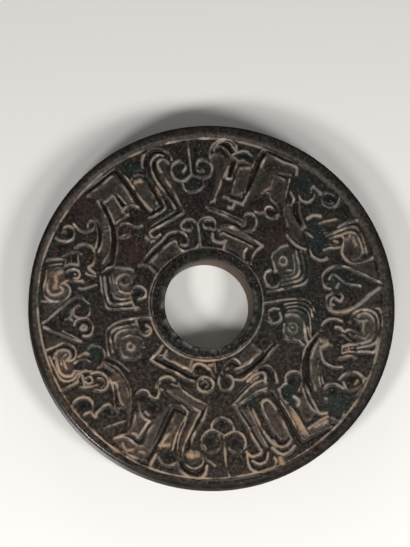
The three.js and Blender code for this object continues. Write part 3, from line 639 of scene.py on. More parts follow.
# outlines of the raised parts, written the same way
bodies = [
    # upper left quarter: slot island, ell, nest, crescent, hook head, shank, bracket, eye, square, rim corner
    (-25.9, 53.6, -24.5, 55.3, -22.8, 55.3, -21.1, 53.3, -17.9, 44.6, -18.3, 43.3, -19.7, 42.6, -21.4, 44.3,
        -24.5, 48.8),
    (-33.7, 58.1, -31.9, 55, -29.3, 50.5, -26.2, 44, -29, 44.8, -29.9, 44.7, -33.5, 50.8, -35, 49.6,
        -38.9, 47.4, -40.9, 47.9, -45.4, 50.5, -40.9, 53.2, -37.5, 55.6),
    (-38.1, 46.2, -35.2, 48.8, -32.4, 43.1, -33.5, 40.9, -35.5, 38.1, -36.7, 42),
    (-40.9, 45.4, -39.5, 42, -38.4, 38.1, -38.1, 34.7, -38.5, 29.6, -40, 25.4, -42, 24, -43.1, 27.3,
        -41.7, 30.7, -41.2, 33.5, -41.4, 37.5),
    (-15, 60.6, -13.5, 62.2, -11.7, 61.9, -12.1, 58.4, -9.3, 49.9, -7.1, 40.9, -8.4, 43.7, -10.1, 48.8,
        -12.7, 54.4, -14.4, 57.8),
    (-18, 57.5, -16.8, 57.5, -14.9, 53, -12.1, 47.7, -10.1, 42.9, -10.4, 41.7, -12.2, 45.4, -14.3, 49.3,
        -16.5, 53.3),
    (-23.4, 20.6, -20, 23.4, -16.1, 26.2, -12.4, 27.8, -11.3, 25.1, -9.8, 23.7, -13.2, 21.7, -17.2, 19,
        -19.4, 16.7),
    (-39.8, 18.9, -35.2, 19.3, -31.6, 18.5, -30.3, 17.1, -31.9, 13.8, -32.4, 7, -37.5, 6.7, -39.6, 7.9,
        -40.4, 10.7),
    (-65.2, 22.8, -58.9, 22, -58.1, 16.1, -57.2, 12.1, -58.4, 9.8, -63.5, 8.7, -66.3, 10.1, -67.7, 12.7,
        -66.3, 18.3),
    (-69.1, 7.9, -63.5, 8, -58.4, 9, -62.3, 5.6, -65.7, 3.1, -69.1, 1.7),
    # upper right quarter: slot panel, ell, nest, finger, crescent, bracket, eye, square, rim corner
    (18, 54.4, 22.3, 54.9, 20.9, 49.9, 19, 45.4, 17.8, 43.1, 14.9, 44.8, 14.4, 47.7, 16.6, 52.6),
    (30.2, 59.8, 33, 57.9, 36.4, 55.7, 39.9, 54, 41.2, 52.7, 38.6, 49.9, 34.1, 50.5, 31.9, 51.3, 30.7, 48.5,
        27.9, 45.7, 26.2, 45.1, 24.5, 42, 22.3, 40.9, 19.4, 40.9, 22.3, 46.2, 24.8, 51, 27.6, 55.8),
    (31.9, 50.5, 35.5, 48.5, 36.9, 47.7, 36.4, 44.3, 34.7, 40.3, 31.9, 39.8, 29.6, 42.6, 28.5, 44.6,
        31, 48.5),
    (7, 60.6, 8.4, 62.2, 11.5, 61.7, 12.4, 60.6, 14.9, 60.1, 13.8, 57.2, 12.1, 54.1, 10, 51.7, 7.6, 46.5,
        6.2, 43.1, 4.8, 42.9, 6.5, 48.8, 8.2, 54.4),
    (34.7, 38.1, 36.9, 37.5, 36.9, 33, 38.6, 30.1, 40.3, 27.8, 40.9, 20.6, 37.5, 22.8, 34.7, 26.2,
        34.1, 31.9),
    (8.7, 25.9, 11, 26.8, 14.9, 24.5, 18.3, 22.5, 16.9, 21.7, 15.6, 20, 15.3, 17.5, 12.7, 20, 10.4, 22,
        7.6, 23.1),
    (27.9, 19.4, 33.7, 21.1, 36.9, 18.3, 36.9, 9.3, 34.1, 7.9, 29.6, 7.6, 27.9, 11.5, 26.8, 14.9),
    (57, 22.8, 61.8, 23.4, 64.3, 17.7, 64, 14.9, 61.8, 11.3, 57.8, 12.1, 56.1, 15.5),
    (57.8, 10.4, 63.5, 10.4, 68.3, 11.5, 69.4, 3.6, 65.2, 5.8, 60.6, 8.4),
    # lower left quarter: slot island, ell, nest, shank, arm, crescent, bracket, eye, square, rim corner
    (-20.6, -40.9, -17.2, -43.1, -16.6, -44.3, -19.4, -47.7, -21.7, -52.2, -24, -54.4, -28.4, -54.4,
        -27.3, -51.6, -24.5, -47.1),
    (-27.3, -43.1, -29.5, -45.2, -32.4, -48.9, -35.1, -53.9, -37.4, -53.3, -39.6, -51.2, -42.5, -49.1,
        -46.2, -49.5, -45.4, -52.2, -43.1, -54.7, -37.5, -58.4, -35, -59.5, -31.9, -54.4, -28.5, -48.8,
        -24.5, -42, -22.8, -39.2, -24.5, -38.6),
    (-36.6, -40.9, -37.4, -43.3, -39.5, -47.7, -37.4, -48.8, -36.6, -49.8, -34, -46.8, -31.7, -44.7,
        -33, -43.1, -34.7, -38.6),
    (-10.3, -42.7, -12.7, -46.5, -15.4, -50.5, -17.7, -54.4, -19.4, -57.8, -20.6, -57.3, -18.9, -52.2,
        -15.5, -47.1, -13.8, -42.6),
    (-22.2, -32.5, -19.4, -31.9, -17.2, -33, -14.1, -35.8, -10.3, -38.6, -7.3, -40.6, -10.1, -42.6,
        -12.1, -41.5, -15.5, -38.5),
    (-45.4, -25.1, -43.1, -22.3, -40.8, -25.1, -39.1, -29, -38.4, -33.1, -38.1, -37.5, -39.8, -42.6,
        -40.8, -36.9, -41.9, -35.4, -42.5, -31.9, -42.8, -27.9),
    (-21, -16.9, -17.2, -17.5, -13.2, -20, -11.5, -21.7, -12.7, -24.8, -15.4, -23.8, -18.2, -21.7,
        -20.5, -20.6, -22.2, -18.7),
    (-40.9, -8.2, -37.4, -6.5, -32.4, -6.5, -31.5, -9.3, -30.2, -13.8, -32.9, -17.8, -36.3, -18.1,
        -38.6, -17.2, -40.3, -14.4),
    (-65.7, -12.1, -62.2, -11.3, -60.1, -12.7, -60.1, -14.9, -58.4, -21.7, -60.6, -22.4, -63.7, -21.9,
        -65.4, -18.9, -66.3, -14.4),
    (-69.4, -3.6, -65.7, -5.3, -58.4, -8.7, -62.3, -8.4, -65.7, -9.6, -69.3, -10.4),
    # lower right quarter: slot island, ell, nest, crescent, shank, arm, bracket, eye, square, rim corner
    (16.6, -42.6, 17.8, -42, 19.6, -44.3, 21.5, -48.2, 23.4, -53.3, 24.5, -56.7, 22.8, -58.5, 20.6, -58.1,
        19, -54.4, 16.6, -48.8, 15.5, -44.3),
    (26.2, -44.9, 24.5, -43.1, 22.8, -40.9, 21.7, -39.8, 24.5, -46.9, 27.9, -56.1, 29.7, -60.1, 37.5, -57.3,
        42, -54.8, 41, -50.6, 38.2, -51.6, 32.5, -54.5, 30.2, -52.2, 28.5, -48.8),
    (29.6, -44.8, 31.9, -40.3, 33, -41.7, 34.7, -46, 36.4, -48.3, 34.1, -51, 31.9, -52.2, 30.2, -48.8),
    (37.5, -25.7, 39.5, -21.7, 42, -19.4, 41.7, -22.8, 40.9, -29.6, 39.9, -34.1, 40, -37.5, 38.6, -43.1,
        36.9, -38.6, 36.6, -34.1, 36.8, -29.6),
    (4.3, -42.6, 7, -42.6, 11, -44.8, 12.8, -54.4, 14.9, -59.5, 12.8, -60.6, 12, -60.5, 9.7, -55.6,
        7.7, -50, 5.4, -45.5),
    (3.6, -41.5, 7.9, -38.1, 12.8, -34.6, 16.6, -33.3, 17.8, -34.1, 17.9, -36.1, 13.3, -37.6, 8.8, -40,
        4.3, -42.6),
    (12.1, -18.3, 14.5, -17.6, 16.1, -19.7, 17.2, -21.2, 14.9, -23.2, 11.5, -25.4, 9.1, -26.3, 8.2, -25.1,
        7, -23.1, 9.3, -20.6),
    (27.9, -11.5, 29.6, -5.3, 33, -5.2, 35.7, -6.6, 36.9, -9.3, 36.9, -16.1, 34.1, -18.9, 29.6, -18.3,
        27.8, -16.6),
    (57.8, -11.8, 60.6, -10.3, 63.5, -11.1, 64.9, -13.5, 64.9, -17.8, 62.9, -21, 59.6, -22.2, 56.8, -22.3,
        57.8, -19, 59.5, -16.1),
    (69.1, -1.4, 69.2, -8.7, 64.6, -8.7, 59.5, -8.2, 62.9, -5.6, 66, -3.1),
]

# stains on the stone, as (x, y, reach, strength)
spots = {
    "warm": [
        (-24.5, 54.3, 3, 0.9), (-62.5, 17, 4, 1), (-16, 50, 3, 1), (-43.5, 26, 3, 0.8), (-46.6, 23, 3, 0.7),
        (-51.6, 15.5, 3, 0.8), (-27, -55, 4, 1), (-15.3, -59.7, 4, 1), (-12.5, -24, 4, 1),
        (-55.5, -14, 3, 0.9), (-53, -27, 4, 0.9), (-41.5, -54.5, 5, 0.9), (29, -52, 6, 1),
        (11, -32, 4, 0.9), (44, -20, 4, 0.5), (53, -24.5, 3, 0.8), (54, -8, 4, 0.8), (20, -66.5, 4, 1),
        (6, -62, 4, 0.8), (54.5, -38, 4, 0.8), (20, 55.5, 3, 0.7), (50, 29.5, 4, 0.7), (51.5, 18, 4, 0.7),
        (-3, -23, 5, 0.8), (-66, -20, 9, 0.9), (-60, -36, 9, 0.8), (-48, -52, 9, 0.9), (-33, -62.6, 9, 0.9),
        (-14, -69, 9, 0.7), (8, -69, 9, 0.6), (30, -63, 8, 0.5), (42, 28, 4, 0.6), (-30, 36, 4, 0.6),
        (-22, 38, 3, 0.5),
    ],
    "green": [
        (-23.7, 59.1, 3, 0.6), (-50.3, -13.4, 3.5, 1), (25.9, -39.7, 4, 1), (45, -46, 6, 0.6),
        (45.5, 19.5, 5, 0.9), (46, 28, 5, 0.9), (36, 8, 7, 0.55), (30, 13, 6, 0.5), (35, -10, 8, 0.5),
        (27, -8, 6, 0.5), (9, -39, 4, 0.7), (53.5, 38.5, 3, 0.8), (44, 47, 6, 0.5), (54, 5, 6, 0.5),
        (22, 60, 3, 0.5), (-2, 50.5, 3, 0.6), (-7, 57, 3, 0.25), (3, 57.5, 3, 0.25), (20, -4, 6, 0.4),
        (-36, -14, 5, 0.3), (-73, 14, 8, 0.3), (-69, 30, 7, 0.3), (-18, -13, 5, 0.35), (16, -7, 5, 0.4),
        (-21, 6, 5, 0.3), (-3, 21, 5, 0.25),
    ],
    "red": [
        (-30, 25, 5, 0.9), (29, 24, 5, 0.8), (-48, -26, 5, 0.9), (-73, -12, 6, 0.6), (10, 36, 5, 0.7),
        (15, 56, 4, 0.6), (-32.5, 34, 3, 0.9), (-47, 47, 7, 0.6), (33, 52, 6, 0.4), (60, 19, 4, 0.6),
        (-12, 64, 6, 0.4), (8, 44, 5, 0.4), (-24, -47, 5, 0.3), (14, -52, 5, 0.4), (-40, -3, 7, 0.4),
    ],
    "rimPad": [
        (52, -46.5, 5, 0.95), (58, -41, 3, 0.7), (45, -53, 3, 0.7), (-55, -45, 6, 0.8), (-61, -37, 5, 0.6),
        (-46, -54.5, 5, 0.85), (-32, -63, 5, 0.6), (70.5, -13, 4, 0.6), (66, -27, 5, 0.5),
        (-69, -17, 7, 0.7),
    ],
}

# relief: a height map of the upper face, worked out in millimetres

relief = {
    "span": 76.0,                   # half width of the map
    "cell": 0.2,
    "seed": 7,
    "finerSize": 0.5, "finerStrength": 0.55,        # each octave of the noise against the one before
    "fieldDepth": 1.1,              # how far the carved field lies under the rim
    "highest": 0.15,
    "ridgeHeight": 0.62, "ridgeWidth": 0.70, "ridgeSpread": (0.85, 1.15), "ridgeStrength": (0.85, 1.0),
    "ridgeUnrubbed": 0.75,
    "threadWidth": 0.54, "threadStrength": (0.68, 0.85),
    "grooveDepth": 0.6, "grooveWidth": 0.62,
    "padAndGlintHeight": 0.4, "padAndGlintSpread": 1.1, "padAndGlintStrength": 0.9,
    "pitDepth": 0.15, "pitPower": 4,
    "bodyHeight": 0.2, "bodyBlur": 2,
    "moatDepth": 0.24, "moatBlur": (7, 6), "moatGain": (2.4, 2.2), "moatBodyLoss": 0.85,
    "lineHeight": 0.12,             # of the lines along the rim and the collar
    "roll": 0.10, "rollSize": 7.0, "rollOnRim": 0.25,       # slow unevenness of the ground
    "toolMarks": 0.035, "toolSize": 1.3, "toolsOnRim": 0.4,
    "slip": 0.05, "shake": 0.04,    # the hand is never quite steady
    "rubSize": 4.0, "rubSpread": (0.8, 0.45),
}
disc = {
    "radius": round((high[0] - low[0]) / 2 / mm, 4), "thickness": round((high[2] - low[2]) / mm, 4),
    "rimFoot": 70.3, "rimMiddle": (-0.5, -0.76), "rimSlope": 1.9,
    # how far the rim wanders, as (waves, mm, degrees)
    "rimWander": [(1, 0.28, 150), (2, 0.3, 330), (3, 0.22, 40), (5, 0.2, 110), (9, 0.12, 20)],
    "collarFoot": 23.6, "collarMiddle": (-2.5, 0.62), "collarSlope": 1.0, "collarWander": (0.25, 12),
    # middle and radius of the hole, at the top and at the foot
    "holeTop": (-1.35, 0.5, 18.2), "holeLow": (-2.2, 1.0, 17.9),
    "outerEdge": 1.6, "holeEdge": 0.7, "edgeSegments": 6,
    # lines along the rim and the collar, as (mm past the foot, width)
    "rimLine": (0.1, 0.6), "rimPad": (0.3, 1.4), "collarLine": (-0.2, 0.55), "collarTrace": (-1.25, 0.3),
    "holeWear": (0.9, 0.7),
    # the back: radius of each turned line, its height and width, and the width of its dust
    "backLines": (23.4, 69.6), "backHeight": 0.3, "backWidth": 0.45, "backDustWidth": 0.5,
    "backRoll": 0.03, "backRollSize": 9.0, "backHighest": 0.4,
}
side = int(round(2 * relief["span"] / relief["cell"])) + 1
axisLine = np.linspace(-relief["span"], relief["span"], side)
mapX, mapY = np.meshgrid(axisLine, axisLine)
rng = np.random.default_rng(relief["seed"])


def readCells(grid, i, j, a, b):
    # the value between four cells of a grid
    return ((grid[j, i] * (1 - a) + grid[j, i + 1] * a) * (1 - b)
            + (grid[j + 1, i] * (1 - a) + grid[j + 1, i + 1] * a) * b)


def softNoise(size, octaves=1):
    # smooth random hills of one size in mm, between -1 and 1
    total = np.zeros_like(mapX)
    strength = 1.0
    for _ in range(octaves):
        count = int(2 * relief["span"] / size) + 4
        lattice = rng.uniform(-1, 1, (count, count))
        u = (mapX + relief["span"]) / size
        v = (mapY + relief["span"]) / size
        i = np.clip(u.astype(int), 0, count - 2)
        j = np.clip(v.astype(int), 0, count - 2)
        a = u - i
        b = v - j
        total += strength * readCells(lattice, i, j, a * a * (3 - 2 * a), b * b * (3 - 2 * b))
        size *= relief["finerSize"]
        strength *= relief["finerStrength"]
    return total


def sampled(layer, x, y):
    # read a layer between its cells
    u = np.clip((x + relief["span"]) / relief["cell"], 0, side - 1.001)
    v = np.clip((y + relief["span"]) / relief["cell"], 0, side - 1.001)
    i = u.astype(int)
    j = v.astype(int)
    return readCells(layer, i, j, u - i, v - j)


def flowing(places, perSpan=5):
    # a smooth run through a few places
    if len(places) < 3:
        return places
    p = np.vstack([2 * places[0] - places[1], places, 2 * places[-1] - places[-2]])
    t = np.linspace(0, 1, perSpan, endpoint=False)[:, None]
    runs = []
    for a, b, c, d in zip(p, p[1:], p[2:], p[3:]):
        runs.append(0.5 * (2 * b + (c - a) * t + (2 * a - 5 * b + 4 * c - d) * t * t
                           + (3 * b - a - 3 * c + d) * t ** 3))
    return np.vstack(runs + [p[-2:-1]])


def window(xLow, xHigh, yLow, yHigh, reach):
    # the part of the map around a stroke
    def along(a, b):
        first = int(max(0, (a - reach + relief["span"]) / relief["cell"]))
        last = int(min(side, (b + reach + relief["span"]) / relief["cell"] + 2))
        return slice(first, last)
    return along(yLow, yHigh), along(xLow, xHigh)


def lay(layer, path, width, strength, power=2.0):
    # lay a soft line on a layer, keeping whichever is stronger
    for (ax, ay), (bx, by) in zip(path[:-1], path[1:]):
        rows, columns = window(min(ax, bx), max(ax, bx), min(ay, by), max(ay, by), width * 3)
        x, y = mapX[rows, columns], mapY[rows, columns]
        dx, dy = bx - ax, by - ay
        k = np.clip(((x - ax) * dx + (y - ay) * dy) / (dx * dx + dy * dy + 1e-9), 0, 1)
        away = np.hypot(x - ax - k * dx, y - ay - k * dy)
        value = strength * np.exp(-(away / width) ** power)
        np.maximum(layer[rows, columns], value, out=layer[rows, columns])


def fill(layer, outline):
    # fill an outline on a layer
    corners = np.reshape(outline, (-1, 2)).astype(float)
    (xLow, yLow), (xHigh, yHigh) = corners.min(0), corners.max(0)
    rows, columns = window(xLow, xHigh, yLow, yHigh, 1)
    x, y = mapX[rows, columns], mapY[rows, columns]
    inside = np.zeros(x.shape, bool)
    for (ax, ay), (bx, by) in zip(corners, np.roll(corners, -1, 0)):
        crosses = (ay > y) != (by > y)
        inside ^= crosses & (x < (bx - ax) * (y - ay) / (by - ay + 1e-9) + ax)
    np.maximum(layer[rows, columns], inside, out=layer[rows, columns])


def stains(places):
    # soft round stains on one layer
    layer = np.zeros_like(mapX)
    for x, y, reach, strength in places:
        rows, columns = window(x, x, y, y, reach * 3)
        away = np.hypot(mapX[rows, columns] - x, mapY[rows, columns] - y)
        np.maximum(layer[rows, columns], strength * band(away, 0, reach), out=layer[rows, columns])
    return layer


def band(value, place, width):
    # 1 where the value has one size, falling off softly on both sides
    return np.exp(-((value - place) / width) ** 2)


def atLeast(least, value):
    # lift the low end of a value, keeping 1 where it is
    return least + (1 - least) * value


def step(start, end, value):
    # a soft rise from 0 to 1, or a fall when start is the greater
    k = np.clip((value - start) / (end - start), 0, 1)
    return k * k * (3 - 2 * k)


def soften(layer, cells):
    # blur by running means, both ways and twice over
    wide = 2 * cells + 1
    for axis in (0, 1) * 2:
        padded = np.concatenate([np.repeat(layer.take([0], axis), cells + 1, axis), layer,
                                 np.repeat(layer.take([-1], axis), cells, axis)], axis)
        total = np.cumsum(padded, axis)
        layer = (total.take(range(wide, total.shape[axis]), axis)
                 - total.take(range(0, total.shape[axis] - wide), axis)) / wide
    return layer


ridges, body, grooves, pits, padsAndGlints = (np.zeros_like(mapX) for _ in range(5))
for outline in bodies:
    fill(body, outline)
body = soften(body, relief["bodyBlur"])
for kind, places, size in carving:
    path = flowing(places) + rng.normal(0, relief["slip"], 2)
    if kind != "pit":
        path = path + rng.normal(0, relief["shake"], path.shape)
    if kind == "ridge":
        width = relief["ridgeWidth"] * rng.uniform(*relief["ridgeSpread"])
        lay(ridges, path, width, rng.uniform(*relief["ridgeStrength"]))
    elif kind == "thread":
        lay(ridges, path, relief["threadWidth"], rng.uniform(*relief["threadStrength"]))
    elif kind == "groove":
        lay(grooves, path, relief["grooveWidth"], 1.0)
    elif kind == "wornAndGlint":
        lay(padsAndGlints, path, size * relief["padAndGlintSpread"], relief["padAndGlintStrength"])
    elif kind == "pit":
        lay(pits, np.vstack([path, path + 0.01]), size, 1.0, relief["pitPower"])
print("carving laid out,", len(carving), "strokes")

# rim and collar, a little out of round as the hand left them
angle = np.arctan2(mapY, mapX)
rimAway = np.hypot(mapX - disc["rimMiddle"][0], mapY - disc["rimMiddle"][1])
rimAway = rimAway - sum(size * np.cos(waves * angle - np.radians(turn))
                        for waves, size, turn in disc["rimWander"])
collarAway = np.hypot(mapX - disc["collarMiddle"][0], mapY - disc["collarMiddle"][1])
collarAway = collarAway + disc["collarWander"][0] * softNoise(disc["collarWander"][1])
rimUp = step(disc["rimFoot"] + 0.1, disc["rimFoot"] + disc["rimSlope"], rimAway)
collarUp = 1 - step(disc["collarFoot"] - disc["collarSlope"], disc["collarFoot"] - 0.1, collarAway)
field = (1 - rimUp) * (1 - collarUp)
pastRim, pastCollar = rimAway - disc["rimFoot"], collarAway - disc["collarFoot"]
rimLine = band(pastRim, *disc["rimLine"])
collarLine = band(pastCollar, *disc["collarLine"])
rubbed = relief["rubSpread"][0] + relief["rubSpread"][1] * softNoise(relief["rubSize"], 2)      # by hands
ridges = ridges * field
# the hollows cut on both sides of a line and round a raised part
byLine, byBody = (np.clip(soften(layer, cells) * gain, 0, 1)
                  for layer, cells, gain in zip((ridges, body), relief["moatBlur"], relief["moatGain"]))
moatShadeAndDark = np.maximum(byLine * (1 - relief["moatBodyLoss"] * body), byBody * (1 - body)) * (1 - ridges) * field
grooves = grooves * (1 - ridges) * field
pits = pits * (1 - ridges) * field
padsAndGlints = padsAndGlints * field

height = -relief["fieldDepth"] * field
height += relief["bodyHeight"] * body * field
height += relief["ridgeHeight"] * ridges * atLeast(relief["ridgeUnrubbed"], rubbed)
height += relief["lineHeight"] * np.maximum(rimLine, collarLine)
height -= relief["grooveDepth"] * grooves
height -= relief["pitDepth"] * pits
height -= relief["moatDepth"] * moatShadeAndDark
height += relief["padAndGlintHeight"] * padsAndGlints * (1 - ridges)
height += relief["roll"] * softNoise(relief["rollSize"], 2) * atLeast(relief["rollOnRim"], field)
height += relief["toolMarks"] * softNoise(relief["toolSize"]) * atLeast(relief["toolsOnRim"], field)
height = np.minimum(height, relief["highest"])

# where residue, dust and stains lie, for the stone's colours: a pair is where a change starts and
# ends, the limits of a value, or its middle and spread
wear = {
    "tone": (1.5, 0.4),                             # residue varies more than height
    "lineTone": (0.42, 1.1), "rimTone": (0.58, 1), "collarTone": (0.7, 1), "trace": 0.7,
    "upperRight": (20, 70), "upperRightLoss": 0.15,
    "rimLossX": (25, 50), "rimLossY": (-30, -5), "rimLoss": 0.6,
    "traceEnd": (-12, 8),
    "pitBlur": 3, "collarDark": 0.35, "farSide": (-15, 50), "farTurn": 0.5, "farDark": 0.28,
    "dustBlur": 6, "dust": 1.1, "dustOnBody": 0.7, "dustGrooveLoss": 0.8, "dustPitLoss": 0.7,
    "nearSidePaler": 0.2, "nearSide": (5, -45),
    "rimDustStart": (-0.2, 0.6), "rimDustEnd": (1.4, 3.0), "rimDustLeast": 0.2, "rimDustNear": (-62, -30),
    "chips": (0.35, 1.2), "chipSize": 1.1, "chipFarLoss": 0.75, "chipFar": (2, 14),
    "chipLeast": 0.55, "chipLeft": (5, -10),
    "pad": (0.7, 0.9), "padSize": 2.2,
    "bodyTone": (1.25, 0.75), "bodyBlur": 9,        # a raised part is paler toward its edges
    "warmLeast": 0.4, "warmLeft": (20, -60), "warmNear": (10, -25),
    "backDust": 0.9, "backDustSpread": 0.55, "backDustSize": 16.0,
    "topFade": (4, 1.5), "wallFade": 0.8, "wallTop": (0.3, 0.5),
    "edgeDepth": 2.0, "polishAndSheenTurn": (-140, 17), "polishAndSheenLoss": 0.85,
}
lessRight = wear["upperRightLoss"] * step(*wear["upperRight"], mapX + mapY)
tone = wear["tone"][0] * rubbed - wear["tone"][1]
rimKept = 1 - wear["rimLoss"] * step(*wear["rimLossX"], mapX) * step(*wear["rimLossY"], mapY)
# a second, finer line inside the collar's edge, on the left and below
collarTrace = band(pastCollar, *disc["collarTrace"]) * (1 - step(*wear["traceEnd"], mapX + mapY))
# broad pale stretches lie beside the rim's line, and the hole's edge is chipped, mostly at the lower left
holeAway = np.hypot(mapX - disc["holeTop"][0], mapY - disc["holeTop"][1]) - disc["holeTop"][2]
chips = np.clip(wear["chips"][0] + wear["chips"][1] * softNoise(wear["chipSize"], 2), 0, 1)
chips = band(holeAway, *disc["holeWear"]) * chips * (1 - wear["chipFarLoss"] * step(*wear["chipFar"], mapY))
rimPad = np.clip(wear["pad"][0] + wear["pad"][1] * softNoise(wear["padSize"], 2), 0, 1)
rimPad = band(pastRim, *disc["rimPad"]) * rimPad
lines = np.maximum.reduce([
    ridges * np.clip(tone - lessRight, *wear["lineTone"]),
    rimLine * rimKept * np.clip(tone, *wear["rimTone"]),
    collarLine * np.clip(rubbed, *wear["collarTone"]),
    wear["trace"] * collarTrace,
    rimPad * stains(spots["rimPad"]),
])
# painted shade: the hollows beside the lines and the ground round the pits are painted darker, and so is the
# far side, away from the lamps; the collar is darker all over
moatShadeAndDark = np.maximum(moatShadeAndDark, np.clip(soften(pits, wear["pitBlur"]), 0, 1)) * field
farDark = wear["farDark"] * step(*wear["farSide"], wear["farTurn"] * mapX + mapY)
moatShadeAndDark = np.maximum.reduce([moatShadeAndDark, wear["collarDark"] * collarUp, farDark])
# dust lies by the lines and along the foot of the rim, and the ground is paler toward the near side
dust = soften(np.maximum(ridges, padsAndGlints), wear["dustBlur"]) * (wear["dust"] + wear["dustOnBody"] * body)
dust = dust * (1 - wear["dustGrooveLoss"] * grooves) * (1 - wear["dustPitLoss"] * pits)
rimDust = step(*wear["rimDustStart"], pastRim) * (1 - step(*wear["rimDustEnd"], pastRim))
rimDust = rimDust * atLeast(wear["rimDustLeast"], step(*wear["rimDustNear"], mapY))
bodyTone = wear["bodyTone"][0] - wear["bodyTone"][1] * soften(body, wear["bodyBlur"])
allWarm = wear["warmLeast"] * step(*wear["warmLeft"], mapX + mapY) * step(*wear["warmNear"], mapY)
layers = {
    "line": lines, "groove": grooves, "pit": pits, "wornAndGlint": padsAndGlints, "moatShadeAndDark": moatShadeAndDark,
    "dust": np.maximum((dust + wear["nearSidePaler"] * step(*wear["nearSide"], mapY)) * field, rimDust),
    "holeWear": chips * atLeast(wear["chipLeast"], step(*wear["chipLeft"], mapX)),
    "body": body * field * np.clip(bodyTone, 0, 1),
    "warm": np.maximum(stains(spots["warm"]), allWarm),
    "green": stains(spots["green"]), "red": stains(spots["red"]),
}

# the back is left plain: two shallow turned lines and the marks of smoothing
backAway = np.hypot(mapX, mapY)
backHeight = sum(disc["backHeight"] * band(backAway, radius, disc["backWidth"])
                 for radius in disc["backLines"])
backHeight = backHeight + disc["backRoll"] * (1 + softNoise(disc["backRollSize"], 2))
backHeight = np.clip(backHeight, 0, disc["backHighest"])
backDust = wear["backDust"] * sum(band(backAway, radius, disc["backDustWidth"])
                                  for radius in disc["backLines"])
backDust = np.clip(backDust + wear["backDustSpread"] * softNoise(wear["backDustSize"], 3), 0, 1)

# the blank: a section of the ring, turned a full circle

blank = {
    "turns": 1440,
    "topCuts": (15, 15),        # one after the other, so sixteen times sixteen rows across the face
    "footCuts": 47, "wallCuts": 11,
    "triangles": 190000,
    "topReach": 2, "footReach": 1.5,            # how deep the relief of each face reaches into the walls
    "tiny": 1e-5,
}


def deselectAll():
    if bpy.context.mode != "OBJECT":
        bpy.ops.object.mode_set(mode="OBJECT")
    bpy.ops.object.select_all(action="DESELECT")


def pickVertices(piece, test):
    bpy.ops.object.mode_set(mode="OBJECT")
    piece.data.polygons.foreach_set("select", [False] * len(piece.data.polygons))
    for vertex in piece.data.vertices:
        vertex.select = test(vertex.co)
    for edge in piece.data.edges:
        edge.select = all(piece.data.vertices[i].select for i in edge.vertices)
    bpy.ops.object.mode_set(mode="EDIT")


def cut(piece, test, *cuts):
    # subdivide the edges that pass a test
    for number in cuts:
        pickVertices(piece, test)
        bpy.ops.mesh.subdivide(number_cuts=number)


def applied(piece, kind, **settings):
    # add a modifier and apply it
    modifier = piece.modifiers.new(kind.lower(), kind)
    for name, value in settings.items():
        setattr(modifier, name, value)
    bpy.ops.object.modifier_apply(modifier=modifier.name)


def makeBlank():
    deselectAll()
    inner, outer, thick = (size * mm for size in (disc["holeTop"][2], disc["radius"], disc["thickness"]))
    bpy.ops.mesh.primitive_plane_add(size=1, location=((inner + outer) / 2, 0, thick / 2),
                                     rotation=(math.pi / 2, 0, 0))
    piece = bpy.context.active_object
    piece.name = "carvedRing"
    piece.scale = (outer - inner, thick, 1)
    bpy.ops.object.transform_apply(location=True, rotation=True, scale=True)
    bpy.ops.object.mode_set(mode="EDIT")
    bpy.ops.mesh.select_mode(type="VERT")
    tiny = blank["tiny"]
    for edgeSize, test in ((disc["outerEdge"], lambda p: p.x > outer - tiny),
                           (disc["holeEdge"], lambda p: p.x < inner + tiny)):
        pickVertices(piece, test)
        bpy.ops.mesh.bevel(offset=edgeSize * mm, segments=disc["edgeSegments"], affect="VERTICES")
    bpy.ops.mesh.select_all(action="SELECT")
    bpy.ops.mesh.delete(type="ONLY_FACE")
    cut(piece, lambda p: p.z > thick - tiny, *blank["topCuts"])
    cut(piece, lambda p: p.z < tiny, blank["footCuts"])
    for place in (inner, outer):
        cut(piece, lambda p: abs(p.x - place) < tiny, blank["wallCuts"])
    bpy.ops.object.mode_set(mode="OBJECT")
    applied(piece, "SCREW", axis="Z", steps=blank["turns"], render_steps=blank["turns"],
            use_merge_vertices=True, merge_threshold=1e-6)
    return piece


def readPlaces(piece):
    places = np.empty(len(piece.data.vertices) * 3)
    piece.data.vertices.foreach_get("co", places)
    return places.reshape(-1, 3).T / mm


def carve(piece):
    # shift the hole off the middle, then press the relief into both faces
    x, y, z = readPlaces(piece)
    topX, topY, topRadius = disc["holeTop"]
    lowX, lowY, lowRadius = disc["holeLow"]
    radius = np.hypot(x, y)
    turn = np.arctan2(y, x)
    inward = np.clip((disc["radius"] - radius) / (disc["radius"] - topRadius), 0, 1)
    up = z / disc["thickness"]
    radius = radius + inward * (lowRadius + (topRadius - lowRadius) * up - topRadius)
    x = radius * np.cos(turn) + inward * (lowX + (topX - lowX) * up)
    y = radius * np.sin(turn) + inward * (lowY + (topY - lowY) * up)
    upper = np.clip((z - disc["thickness"] + blank["topReach"]) / blank["topReach"], 0, 1)
    under = np.clip(1 - z / blank["footReach"], 0, 1)
    z = z + upper * sampled(height, x, y) + under * sampled(backHeight, x, y)
    piece.data.vertices.foreach_set("co", (np.stack([x, y, z], 1) * mm).ravel())
    piece.data.update()


ring = makeBlank()
print("blank turned,", len(ring.data.vertices), "points")
carve(ring)
deselectAll()
ring.select_set(True)
bpy.context.view_layer.objects.active = ring
bpy.ops.object.mode_set(mode="EDIT")
bpy.ops.mesh.select_all(action="SELECT")
bpy.ops.mesh.normals_make_consistent(inside=False)
bpy.ops.object.mode_set(mode="OBJECT")
applied(ring, "DECIMATE", ratio=blank["triangles"] / (2 * len(ring.data.polygons)))
bpy.ops.object.shade_smooth()
print("carved and thinned,", len(ring.data.polygons), "faces")


# stains and wear ride on the points
def writeAttribute(name, values):
    ring.data.attributes.new(name, "FLOAT", "POINT").data.foreach_set("value", values.astype(np.float32))


